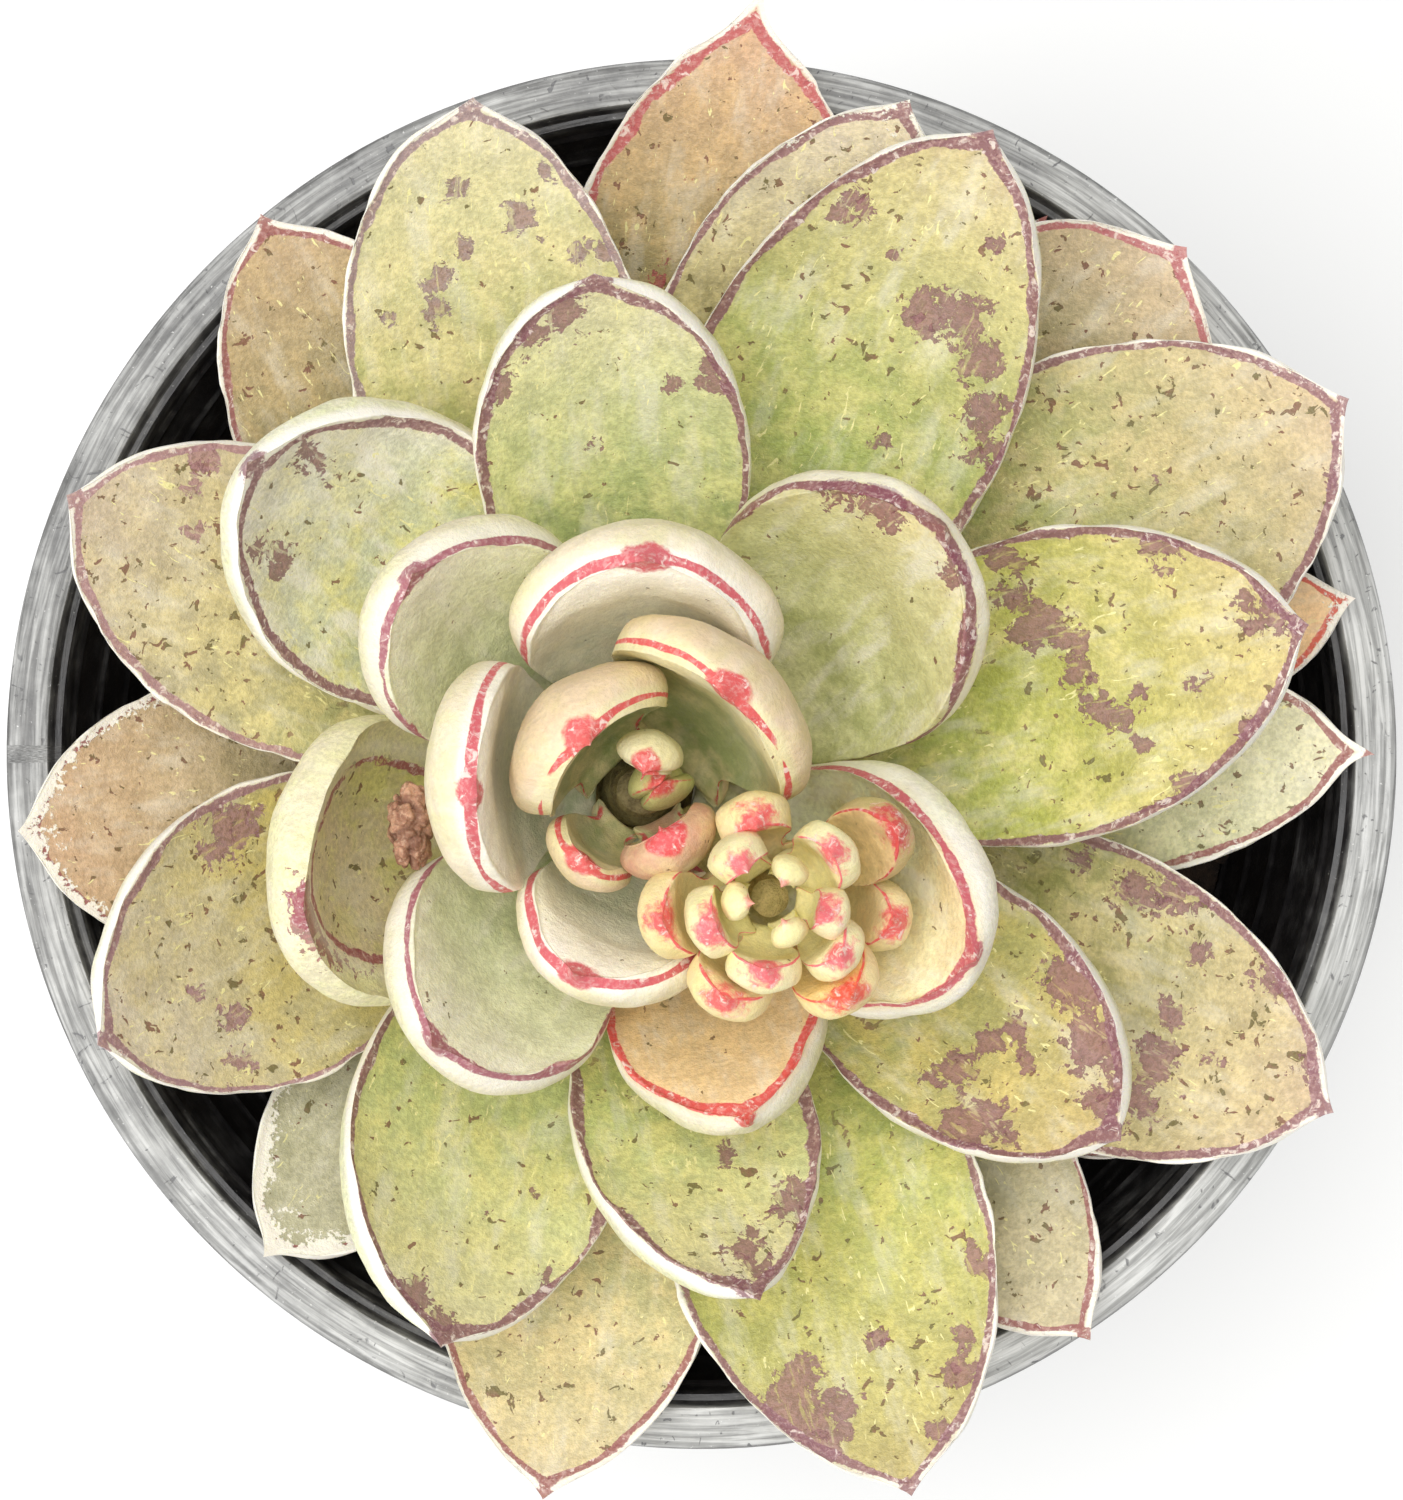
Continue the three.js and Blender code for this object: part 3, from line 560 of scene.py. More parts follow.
# How a blade departs from its bare rings (mm). The offset's blades are scaled down.
bladeShape = {"swell": 0.16, "swellWave": 8, "ripple": 0.05, "rippleWave": 2.6, "sink": 0.1,
              "fillReach": 1.2, "nick": 0.3, "nickWave": 4.5, "nickReach": 0.7, "bend": 0.35,
              "pupScale": 0.35}
bladeMarks = {"growReach": 2.2, "unevenWave": 7, "crustLimit": 0.45, "tipCrustReach": 5}
underMottle = np.array((0.88, 0.93, 0.78, 1.0))


# The amounts that the skin reads, each one number or one for every point.
def paintSkin(mesh, looks, amounts):
    count = len(mesh.vertices)
    for name, values in amounts.items():
        setAttribute(mesh, name, np.broadcast_to(values, count))
    setAttribute(mesh, "line", np.tile(tone(*looks["line"]), (count, 1)), "FLOAT_COLOR")


# Distance from each point of a blade to the nearest point of its two margins.
def marginGap(grid, half):
    flat = grid.reshape(-1, 3)
    edges = np.concatenate([grid[:, 0], grid[:, half]])
    gap = np.empty(len(flat))
    batch = 2048
    for start in range(0, len(flat), batch):
        part = flat[start:start + batch]
        gap[start:start + batch] = np.sqrt(((part[:, None] - edges[None]) ** 2).sum(2)).min(1)
    return gap.reshape(grid.shape[:2])


# The skin swells and sinks a little, fills out its face, and its edge wavers.
def swollen(grid, gap, side, share, looks, scale, seed):
    shape = bladeShape
    half = grid.shape[1] // 2
    normal = gridNormals(grid)
    flat = grid.reshape(-1, 3)
    swell = (shape["swell"] * wander(flat, shape["swellWave"] * scale, seed)
             + shape["ripple"] * wander(flat, shape["rippleWave"] * scale, seed + 1))
    fade = np.clip((1 - share) * 12, 0, 1)[:, None]
    lift = (swell.reshape(gap.shape) - shape["sink"]) * scale * fade
    filled = (1 - np.exp(-gap / (shape["fillReach"] * scale))) * np.clip(side, 0, 1)[None, :]
    lift = lift + looks["plump"] * filled * np.clip(share[:, None] * 3 - 1.2, 0, 1) * fade
    grid = grid + normal * lift[..., None]
    inward = (grid[:, :1] + grid[:, half:half + 1]) / 2 - grid
    inward /= np.maximum(np.linalg.norm(inward, axis=2, keepdims=True), 1e-6)
    nick = np.maximum(0, wander(grid.reshape(-1, 3), shape["nickWave"] * scale, seed + 2)).reshape(gap.shape)
    depth = nick * shape["nick"] * scale * np.exp(-gap / (shape["nickReach"] * scale)) * fade
    return grid + inward * depth[..., None]


# Round stains on one side of a blade, strongest in their middle.
def stainAmount(stains, points, foot, tip):
    out = (tip - foot)[:2]
    reach = np.linalg.norm(out)
    out = out / reach
    plan = points[:, :2] - foot[:2]
    outShare = plan @ out / reach
    sideMm = plan @ np.array([-out[1], out[0]])
    amount = np.zeros(len(points))
    for outAt, sideAt, radius, strength in stains:
        gapSquare = (sideMm - sideAt) ** 2 + ((outShare - outAt) * reach) ** 2
        amount = np.maximum(amount, strength * np.exp(-gapSquare / (1.2 * radius) ** 2))
    return amount


# The coloured line inside the edge, wider near the tip, with the spot at the tip.
def marginAmount(points, tip, drawn, tipGap, edge, v, looks, isPup, scale, seed):
    grow = np.exp(-(tipGap / (bladeMarks["growReach"] * scale)) ** 2)
    uneven = 1 + 0.45 * wander(points, bladeMarks["unevenWave"] * scale, seed + 3)
    halfWide = looks["wide"] * (1 + 0.9 * grow) * uneven / 2
    margin = 1 - np.abs(edge - 0.35 * scale - halfWide) / halfWide
    if isPup:
        spot = 0.52 - 0.36 * tipGap / looks["spot"]
    else:
        lengthways = np.abs((points - tip) @ drawn)
        sideways = np.abs((points - tip) @ np.cross(drawn, (0, 0, 1)))
        spot = 1.15 - (0.45 * tipGap + 0.55 * sideways + 0.3 * lengthways) / looks["spot"]
    margin = np.maximum(margin, spot) * np.clip(v * 4, 0, 1)
    return np.clip(margin, -1, 1)


# Dry crust along the edge, and over the tip of the most withered leaves.
def crustAmount(tipGap, edge, v, looks, scale):
    amount = looks["crust"]
    reach = (0.7 + 1.2 * amount) * scale
    along = amount * np.exp(-np.abs(edge) / reach) * np.clip(v * 1.6 - 0.3, 0, 1)
    atTip = 0.8 * np.exp(-tipGap / bladeMarks["tipCrustReach"]) * (amount > bladeMarks["crustLimit"])
    return np.maximum(along, atTip * amount)


# The body colour and its mottling, from stem to tip and from the face round to the underside.
def paintBody(mesh, edge, v, looks, scale):
    shade = {key: np.array(tone(*looks[key])) for key in ("root", "face", "patch", "far", "back")}
    nearShare = np.clip((v - 0.1) / 0.45, 0, 1)
    farShare = np.clip((v - 0.5) / 0.5, 0, 1) ** 1.2
    # painted light: a paler strip on the face beside the margin, lightening the face where it lies in shade
    paintedLight = 0.75 * np.exp(-(edge / looks["paintedLight"]) ** 2) * np.clip(v * 3 - 0.6, 0, 1)
    upper = blend(shade["root"], shade["face"], nearShare)
    upper = blend(blend(upper, shade["far"], farShare), shade["far"], paintedLight)
    patch = blend(shade["patch"], shade["far"], farShare * 0.7)
    ease = np.clip(edge / (0.5 * scale) + 0.5, 0, 1)
    setAttribute(mesh, "body", blend(shade["back"], upper, ease), "FLOAT_COLOR")
    setAttribute(mesh, "patch", blend(shade["back"] * underMottle, patch, ease), "FLOAT_COLOR")


def leafPiece(node, seed, skin):
    kind = node.rsplit("_", 1)[0]
    looks = {**leafLooks[kind], **ownLooks.get(node, {})}
    isPup = kind.startswith("pup")
    scale = bladeShape["pupScale"] if isPup else 1.0
    around = leafMesh["pupAround" if isPup else "around"]
    rowCount = leafMesh["pupRows" if isPup else "rows"]
    half = around // 2
    rings, foot, tip = readLeaf(node)
    rings = roundRings(rings, around)
    rows = np.concatenate([np.tile(foot, (1, around, 1)), rings, np.tile(tip, (1, around, 1))])
    middles = rows.mean(axis=1)
    knots = np.concatenate([[0], np.cumsum(np.linalg.norm(np.diff(middles, axis=0), axis=1))])
    length = knots[-1]
    share = 1 - (1 - np.linspace(0, 1, rowCount + 2)[1:-1]) ** leafMesh["poleShare"]
    grid = alongRings(rows, knots, share * length)
    gap = marginGap(grid, half)
    column = np.arange(around)
    isFace = (column > 0) & (column < half)
    side = np.where(isFace, 1.0, np.where((column == 0) | (column == half), 0.0, -1.0))
    grid = swollen(grid, gap, side, share, looks, scale, seed)

    # a fine point drawn out of the tip, bent a little to one side
    drawn = middles[-1] - middles[-4]
    drawn = drawn / np.linalg.norm(drawn)
    bend = np.cross(drawn, (0, 0, 1)) * bladeShape["bend"]
    pull = np.exp(-np.linalg.norm(grid - tip, axis=2) / (0.55 + 0.25 * looks["spike"]))[..., None]
    grid = grid + looks["spike"] * (drawn * pull + bend * pull ** 2)
    tip = tip + looks["spike"] * (drawn + bend)
    points = withPoles(foot, grid, tip)
    piece = newPiece(node.replace("leaf", "blade"), points * mm, closedGrid(rowCount, around), skin)
    mesh = piece.data

    # every value has a first one for the foot and a last one for the tip
    def fill(values, first, last):
        return np.concatenate([[first], np.broadcast_to(values, (rowCount, around)).ravel(), [last]])

    tipGap = fill(np.linalg.norm(grid - tip, axis=2), length, 0.0)
    v = fill(share[:, None], 0, 1)
    width = np.linalg.norm(grid[:, 0] - grid[:, half], axis=1)[:, None]
    acrossMm = fill(np.cos(turns(around))[None, :] * width / 2, 0, 0)
    rolled = gap * side[None, :] + looks["roll"] * np.clip(share * 4, 0, 1)[:, None]
    edge = fill(rolled, -1.0, looks["roll"])
    onFace = np.clip(edge / 0.4, 0, 1)
    stain = np.maximum(stainAmount(leafStains.get(node, []), points, foot, tip) * onFace,
                       stainAmount(backStains.get(node, []), points, foot, tip) * (1 - onFace))
    amounts = {
        "edge": edge / scale, "onFace": onFace, "outward": np.clip((v - 0.25) / 0.3, 0, 1), "stain": stain,
        "margin": marginAmount(points, tip, drawn, tipGap, edge, v, looks, isPup, scale, seed),
        "crust": crustAmount(tipGap, edge, v, looks, scale), "raggedness": looks["ragged"],
        "speck": looks["speck"], "bloom": looks["bloom"], "rim": looks["rim"],
    }
    paintSkin(mesh, looks, amounts)
    paintBody(mesh, edge, v, looks, scale)
    rowPlace = np.stack([acrossMm, v * length, np.full(len(v), seed * 3.7)], axis=1)
    setAttribute(mesh, "leafPlace", rowPlace, "FLOAT_VECTOR")
    return finishPiece(piece, "pup_leaf_skin" if isPup else kind + "_skin", node)


skin = leafSkin()
leafNames = sorted(name for name in nodes if name.rsplit("_", 1)[0] in leafLooks)
for number, name in enumerate(leafNames):
    leafPiece(name, 11 + 5 * number, skin)

# The closed growing point between the heart leaves (mm), and its blades: (turn, share of full size).
bud = {"foot": (-2.7, -1.9, 106.6), "length": 7.8, "width": 4.4, "thick": 0.5, "lean": 0.9,
       "around": 24, "rows": 20, "low": (0.56, 0.64, 0.34), "high": (0.84, 0.80, 0.54),
       "blades": ((2.4, 1.0), (5.2, 0.92), (0.6, 0.78), (3.9, 0.66))}


def budPiece():
    rows = bud["rows"]
    around = bud["around"]
    share = 1 - (1 - np.linspace(0, 1, rows + 2)[1:-1, None]) ** 1.4
    angle = turns(around)[None, :]
    points = []
    faces = []
    for turn, grow in bud["blades"]:
        half = bud["width"] * grow * np.sin(math.pi * share ** 0.8) ** 0.7 / 2
        height = bud["length"] * grow
        sideways = half * np.cos(angle)
        out = -bud["thick"] * half * np.sin(angle) + bud["lean"] * grow * np.sin(math.pi * share) ** 0.8
        turned = np.stack([out * math.cos(turn) - sideways * math.sin(turn),
                           out * math.sin(turn) + sideways * math.cos(turn),
                           share * height + 0 * angle], axis=2)
        first = sum(len(block) for block in points)
        points.append(withPoles((0, 0, 0), turned, (0, 0, height)) + np.array(bud["foot"]))
        faces += [tuple(first + i for i in face) for face in closedGrid(rows, around)]
    count = len(bud["blades"])
    points = np.concatenate(points)
    risen = np.tile(np.concatenate([[0], np.repeat(share.ravel(), around), [1]]), count)
    facing = np.tile(np.concatenate([[0], np.tile(np.cos(angle.ravel()), rows), [0]]), count)
    piece = newPiece("growing_point", points * mm, faces, skin)
    mesh = piece.data
    low = np.array(tone(*bud["low"]))
    high = np.array(tone(*bud["high"]))
    weight = np.clip(risen * 1.3 - 0.2, 0, 1)
    setAttribute(mesh, "body", blend(low, high, weight), "FLOAT_COLOR")
    setAttribute(mesh, "patch", blend(low, high * 0.95, weight), "FLOAT_COLOR")
    sides = (np.abs(facing) > 0.97) * 0.3 * np.clip(risen * 3 - 1, 0, 1)
    paintSkin(mesh, leafLooks["heart_leaf"], {
        "margin": np.maximum(0.42 - 1.6 * (1 - risen), sides), "edge": -5, "onFace": 0, "outward": 0,
        "speck": 0, "stain": 0, "crust": 0, "rim": 0, "bloom": 0.1, "raggedness": 0.3})
    setAttribute(mesh, "leafPlace", points, "FLOAT_VECTOR")
    return finishPiece(piece, "heart_leaf_skin")


budPiece()
print(f"leaves: {len(leafNames)}, and the growing point")


def barkMaterial(name, low, high, scale):
    material, tree, shader = newMaterial(name)
    place = objectPlace(tree)
    long = scaledPlace(tree, place, (1, 1, 0.35))
    rough = noise(tree, long, scale, 5, 0.65, 0.5)
    fine = noise(tree, place, scale * 6, 3, 0.6)
    colour = mixColour(tree, ramp(tree, rough, 0.35, 0.65), tone(*low), tone(*high))
    colour = mixColour(tree, ramp(tree, fine, 0.5, 0.72, 0, 0.4), colour, tone(0.28, 0.22, 0.15))
    tree.links.new(colour, shader.inputs["Base Color"])
    tree.links.new(ramp(tree, fine, 0.3, 0.7, 0.55, 0.8), shader.inputs["Roughness"])
    height = timesPlus(tree, rough, 0.7, times(tree, fine, 0.4))
    addBump(tree, shader, height, 0.6, 0.0005)
    return material


stemMesh = {"around": 40, "rows": 90, "scarStep": 2.6, "scarDepth": 0.22}
pupStemMesh = {"around": 24, "rows": 40, "scarStep": 1.4, "scarDepth": 0.08}


def stemPiece(node, name, material, sizes):
    around = sizes["around"]
    rowCount = sizes["rows"]
    work = bmesh.new()
    work.from_mesh(nodes[node].data)
    bmesh.ops.remove_doubles(work, verts=work.verts, dist=mergeGap)
    poles = sorted(work.verts, key=lambda v: -len(v.link_edges))[:2]
    foot, top = sorted(poles, key=lambda v: v.co.z)
    levels = []
    seen = {foot}
    level = [foot]
    while level:
        level = list({e.other_vert(v) for v in level for e in v.link_edges} - seen)
        seen |= set(level)
        if len(level) > 2:
            levels.append(np.array([tuple(v.co) for v in level]) / mm)
    middles = np.array([level.mean(0) for level in levels])
    radii = np.array([np.linalg.norm(level - level.mean(0), axis=1).mean() for level in levels])
    footPlace, topPlace = (np.array(tuple(v.co)) / mm for v in (foot, top))
    work.free()
    knots = np.concatenate([[0], np.cumsum(np.linalg.norm(np.diff(middles, axis=0), axis=1))])
    at = np.linspace(0, knots[-1], rowCount)
    centres = alongRings(middles[:, None], knots, at)[:, 0]
    radius = np.interp(at, knots, radii)
    tangent = np.gradient(centres, axis=0)
    tangent /= np.linalg.norm(tangent, axis=1, keepdims=True)
    side = np.cross(tangent, [0.3, 1.0, 0.1])
    side /= np.linalg.norm(side, axis=1, keepdims=True)
    other = np.cross(tangent, side)
    angle = turns(around)
    spiral = np.sin(at[:, None] / sizes["scarStep"] * 2 * math.pi + 3 * angle[None, :])
    grid = (centres[:, None] + side[:, None] * np.cos(angle)[None, :, None] * radius[:, None, None]
            + other[:, None] * np.sin(angle)[None, :, None] * radius[:, None, None])
    outward = grid - centres[:, None]
    outward /= np.linalg.norm(outward, axis=2, keepdims=True)
    dent = -sizes["scarDepth"] * np.clip(spiral - 0.4, 0, 1) / 0.6
    dent += 0.5 * sizes["scarDepth"] * (wander(grid.reshape(-1, 3), 3.0, 5).reshape(dent.shape) - 0.6)
    grid = grid + outward * dent[..., None]
    points = withPoles(footPlace, grid, topPlace)
    return newPiece(name, points * mm, closedGrid(rowCount, around), material)


bark = barkMaterial("stemBark", (0.42, 0.37, 0.24), (0.60, 0.55, 0.38), 0.9)
greenBark = barkMaterial("pupBark", (0.66, 0.60, 0.36), (0.80, 0.72, 0.48), 1.2)
finishPiece(stemPiece("stem", "stem_with_scars", bark, stemMesh), "stem_bark", "stem")
finishPiece(stemPiece("pup_stem", "offset_stem", greenBark, pupStemMesh), "stem_bark", "pup_stem")
print("stems")


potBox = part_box("nursery_pot")
pot = {
    "rim": potBox[1].x / mm, "height": potBox[1].z / mm, "lip": 3.3, "skirt": 5.0, "step": 0.7, "wall": 1.1,
    "base": 37.5, "floor": 1.6, "around": 240, "ribStep": 5.6, "ribHeight": 0.28, "ribWidth": 0.9,
    "holes": 8, "holeRadius": 3.2, "holeInset": 9.0, "holeSides": 28,
}


def potProfile():
    rim, top, wall = pot["rim"], pot["height"], pot["wall"]
    inside = rim - pot["lip"]
    under = top - wall
    floor = pot["base"] - wall

    def inner(height):
        return floor + (inside - floor) * height / top

    skirt = top - pot["skirt"]
    outer = [(0, 0), (pot["base"] * 0.5, 0), (pot["base"] - 1.6, 0), (pot["base"] - 0.5, 0.4),
             (pot["base"], 1.5)]
    for height in np.arange(4, under - 6, 1.5):
        outer.append((inner(height) + wall, height))
    outer += [(inner(under) + wall, under - 0.4), (inner(under) + wall + 0.5, under),
              (rim - wall - 0.2, under), (rim - wall - 0.1, under - 0.3), (rim - wall - 0.4, skirt + 0.2),
              (rim - wall - 0.2, skirt), (rim - 0.6, skirt), (rim - 0.4, skirt + 0.25),
              (rim - 0.2, top - 2.4), (rim, top - 0.8), (rim - 0.08, top - 0.35), (rim - 0.3, top - 0.1),
              (rim - 0.6, top), (rim - 1.5, top + 0.03), (rim - 2.4, top), (inside + 0.35, top - 0.02),
              (inside + 0.1, top - 0.12), (inside, top - 0.35), (inside - 0.1, under + 0.1),
              (inside - 0.25, under - 0.1), (inside - pot["step"], under - 0.2),
              (inside - pot["step"] - 0.15, under - 0.6)]
    heights = []
    height = skirt
    while height > pot["floor"] + 4:
        heights.append(height)
        height -= pot["ribStep"]
    wallPoints = []
    for at in heights:
        half = pot["ribWidth"] / 2
        for offset, lift in ((1.6, 0), (1.0, 0.1), (0.7, 0.5), (0, 1), (-0.7, 0.5), (-1.0, 0.1), (-1.6, 0)):
            level = at + offset * half
            wallPoints.append((inner(level) - pot["ribHeight"] * lift, level))
        wallPoints.append((inner(at - pot["ribStep"] / 2), at - pot["ribStep"] / 2))
    outer += wallPoints
    outer += [(inner(pot["floor"] + 1.0), pot["floor"] + 1.0), (floor - 0.9, pot["floor"]),
              (pot["base"] * 0.5, pot["floor"]), (0, pot["floor"])]
    return outer


def potPlastic():
    material, tree, shader = newMaterial("potPlastic")
    place = objectPlace(tree)
    wearAndSheen = attribute(tree, "wearAndSheen")
    coarse = noise(tree, place, 0.09, 4, 0.6, 0.5)
    medium = noise(tree, place, 0.5, 4, 0.62)
    fine = noise(tree, place, 3.0, 3, 0.6)
    ringPlace = attribute(tree, "ringPlace", "Vector")
    scuffs = noise(tree, scaledPlace(tree, ringPlace, (0.12, 2.4, 1)), 1.0, 4, 0.6, 0.4)
    cuts = noise(tree, scaledPlace(tree, ringPlace, (0.7, 0.5, 1)), 1.0, 2, 0.5, 2.5)
    colour = mixColour(tree, ramp(tree, medium, 0.35, 0.7), tone(0.13, 0.125, 0.13), tone(0.2, 0.19, 0.19))
    field = timesPlus(tree, coarse, 0.5, times(tree, medium, 0.35))
    field = plus(tree, field, times(tree, scuffs, 0.35))
    # pale bleached and dusty patches, with painted sheen on the lip's lit side
    dustAndSheen = ramp(tree, plus(tree, field, times(tree, wearAndSheen, 0.75)), 0.72, 1.45)
    bleachedAndSheen = mixColour(tree, ramp(tree, scuffs, 0.35, 0.66), tone(0.60, 0.60, 0.59),
                         tone(0.84, 0.84, 0.83))
    colour = mixColour(tree, dustAndSheen, colour, bleachedAndSheen)
    nicks = times(tree, ramp(tree, cuts, 0.66, 0.72, 0, 0.75), ramp(tree, wearAndSheen, 0.3, 0.7))
    colour = mixColour(tree, nicks, colour, tone(0.34, 0.34, 0.35))
    glints = times(tree, ramp(tree, fine, 0.66, 0.74, 0, 0.6), ramp(tree, wearAndSheen, 0.15, 0.5))
    colour = mixColour(tree, glints, colour, tone(0.93, 0.93, 0.92))
    tree.links.new(colour, shader.inputs["Base Color"])
    tree.links.new(ramp(tree, field, 0.4, 0.8, 0.3, 0.6), shader.inputs["Roughness"])
    height = timesPlus(tree, scuffs, 0.6, times(tree, fine, 0.3))
    height = timesPlus(tree, nicks, -0.6, height)
    addBump(tree, shader, height, 0.4, 0.0003)
    return material


# The points of a turned grid from rows of (radius, height), each row a full circle.
def ringGrid(rows, around, offset=0.0):
    angle = turns(around, offset)
    grid = np.zeros((len(rows), around, 3))
    grid[..., 0] = rows[:, None, 0] * np.cos(angle)
    grid[..., 1] = rows[:, None, 0] * np.sin(angle)
    grid[..., 2] = rows[:, 1:2]
    return grid


# Named inputs of a node tree that ends in one geometry, as {identifier: value}.
def treeInputs(tree, values):
    sockets = {}
    for label, value in values.items():
        kind = "NodeSocketInt" if isinstance(value, int) else "NodeSocketFloat"
        socket = tree.interface.new_socket(label, in_out="INPUT", socket_type=kind)
        socket.default_value = value
        sockets[socket.identifier] = value
    tree.interface.new_socket("Geometry", in_out="OUTPUT", socket_type="NodeSocketGeometry")
    return sockets


def endTree(tree, instances, material):
    real = addNode(tree, "GeometryNodeRealizeInstances", {0: instances})
    painted = addNode(tree, "GeometryNodeSetMaterial", {0: real.outputs[0], "Material": material})
    end = addNode(tree, "NodeGroupOutput")
    tree.links.new(painted.outputs[0], end.inputs[0])


# Geometry Nodes: short cylinders set round a circle, for cutting the drain holes.
def circleOfPins(material):
    tree = bpy.data.node_groups.new("drainPins", "GeometryNodeTree")
    sockets = treeInputs(tree, {"Count": pot["holes"], "Ring Radius": (pot["base"] - pot["holeInset"]) * mm,
                                "Pin Radius": pot["holeRadius"] * mm, "Depth": pot["floor"] * 6 * mm})
    start = addNode(tree, "NodeGroupInput")
    circle = addNode(tree, "GeometryNodeMeshCircle", {"Vertices": start.outputs["Count"],
                                                      "Radius": start.outputs["Ring Radius"]})
    pin = addNode(tree, "GeometryNodeMeshCylinder", {"Vertices": pot["holeSides"],
                                                     "Radius": start.outputs["Pin Radius"],
                                                     "Depth": start.outputs["Depth"]})
    onPoints = addNode(tree, "GeometryNodeInstanceOnPoints", {"Points": circle.outputs[0],
                                                              "Instance": pin.outputs[0]})
    endTree(tree, onPoints.outputs[0], material)
    return tree, sockets


def fromNodes(name, tree, sockets, base=None):
    mesh = base or bpy.data.meshes.new(name + "Base")
    holder = bpy.data.objects.new(name + "Holder", mesh)
    scene.collection.objects.link(holder)
    modifier = holder.modifiers.new("Nodes", "NODES")
    modifier.node_group = tree
    for identifier, value in sockets.items():
        modifier[identifier] = value
    depsgraph = bpy.context.evaluated_depsgraph_get()
    made = bpy.data.meshes.new_from_object(holder.evaluated_get(depsgraph))
    made.name = name
    bpy.data.objects.remove(holder)
    piece = bpy.data.objects.new(name, made)
    scene.collection.objects.link(piece)
    return piece


# Wear is strongest on the lip, less on the wall and in the throat; painted sheen lightens the lip on the
# side towards the given turn (degrees).
potWearAndSheen = {"lip": 0.62, "paintedSheen": 0.38, "wall": 0.22, "throat": 0.3, "lipWidth": 3.7, "throatWidth": 3.2,
           "fade": 0.4, "sheenTurn": -40}
sharpTurn = math.radians(40)


def wearAndSheenOnPot(mesh):
    co = np.zeros(len(mesh.vertices) * 3)
    mesh.vertices.foreach_get("co", co)
    co = co.reshape(-1, 3) / mm
    height = co[:, 2]
    radius = np.hypot(co[:, 0], co[:, 1])
    angle = np.arctan2(co[:, 1], co[:, 0])
    onTop = np.clip((height - (pot["height"] - 0.6)) / potWearAndSheen["fade"], 0, 1)
    onLip = np.clip((radius - (pot["rim"] - potWearAndSheen["lipWidth"])) / potWearAndSheen["fade"], 0, 1)
    # painted sheen: the lip grows lighter on the side where the light falls
    sheenward = 0.5 + 0.5 * np.cos(angle - math.radians(potWearAndSheen["sheenTurn"]))
    wall = np.clip((height - 20) / 60, 0, 1) * (radius < pot["rim"] - potWearAndSheen["throatWidth"])
    wearAndSheen = onTop * onLip * (potWearAndSheen["lip"] + potWearAndSheen["paintedSheen"] * sheenward)
    wearAndSheen = np.maximum(wearAndSheen, potWearAndSheen["wall"] * wall)
    wearAndSheen = np.maximum(wearAndSheen, potWearAndSheen["throat"] * np.clip((height - (pot["height"] - 6)) / 4, 0, 1))
    setAttribute(mesh, "wearAndSheen", wearAndSheen)
    setAttribute(mesh, "ringPlace", np.stack([angle * 50, radius, height], axis=1), "FLOAT_VECTOR")


# The pot's grid is turned half a step, which keeps its lines off the holes' corners.
def potPiece(material):
    profile = potProfile()
    body = np.array(profile[1:-1])
    points = withPoles((0, 0, profile[0][1]), ringGrid(body, pot["around"], 0.5), (0, 0, profile[-1][1]))
    piece = newPiece("pot_shell", points * mm, closedGrid(len(body), pot["around"]), material)
    pins = fromNodes("drainPins", *circleOfPins(material))
    pins.data.transform(pins.matrix_world.Rotation(math.pi / pot["holes"], 4, "Z"))
    cut = piece.modifiers.new("Drain", "BOOLEAN")
    cut.object = pins
    cut.operation = "DIFFERENCE"
    cut.solver = "EXACT"
    drilled = bpy.data.meshes.new_from_object(piece.evaluated_get(bpy.context.evaluated_depsgraph_get()))
    piece.modifiers.clear()
    piece.data = drilled
    bpy.data.objects.remove(pins)
    drilled.polygons.foreach_set("use_smooth", [True] * len(drilled.polygons))
    drilled.set_sharp_from_angle(angle=sharpTurn)
    wearAndSheenOnPot(drilled)
    return piece


finishPiece(potPiece(potPlastic()), "pot_plastic", "nursery_pot")
print("pot")


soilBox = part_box("soil")
soil = {"level": 63.0, "top": 2.8, "rings": 46, "around": 120, "footShare": 0.77, "lumps": 0.9,
        "lumpWave": 9, "crumbs": 0.45, "crumbWave": 3.2}
# Stones per square metre, and their size in mm.
darkChips = {"density": 110000.0, "size": 1.5, "seed": 8}
paleStones = {"density": 22000.0, "size": 1.1, "seed": 21}
stoneShape = {"upright": 0.55, "lumpScale": 900.0, "lump": 0.0012, "smallest": (0.4, 0.3, 0.25),
              "largest": (1.2, 0.9, 0.6), "turn": (6.3, 6.3, 6.3)}


def soilMaterial(name, low, high, pale):
    material, tree, shader = newMaterial(name)
    place = objectPlace(tree)
    medium = noise(tree, place, 0.6, 5, 0.65)
    fine = noise(tree, place, 3.5, 4, 0.65)
    colour = mixColour(tree, ramp(tree, medium, 0.35, 0.65), tone(*low), tone(*high))
    colour = mixColour(tree, ramp(tree, fine, 0.62, 0.74, 0, pale), colour, tone(0.72, 0.68, 0.60))
    tree.links.new(colour, shader.inputs["Base Color"])
    shader.inputs["Roughness"].default_value = 0.95
    height = timesPlus(tree, medium, 0.7, times(tree, fine, 0.5))
    addBump(tree, shader, height, 0.8, 0.0008)
    return material


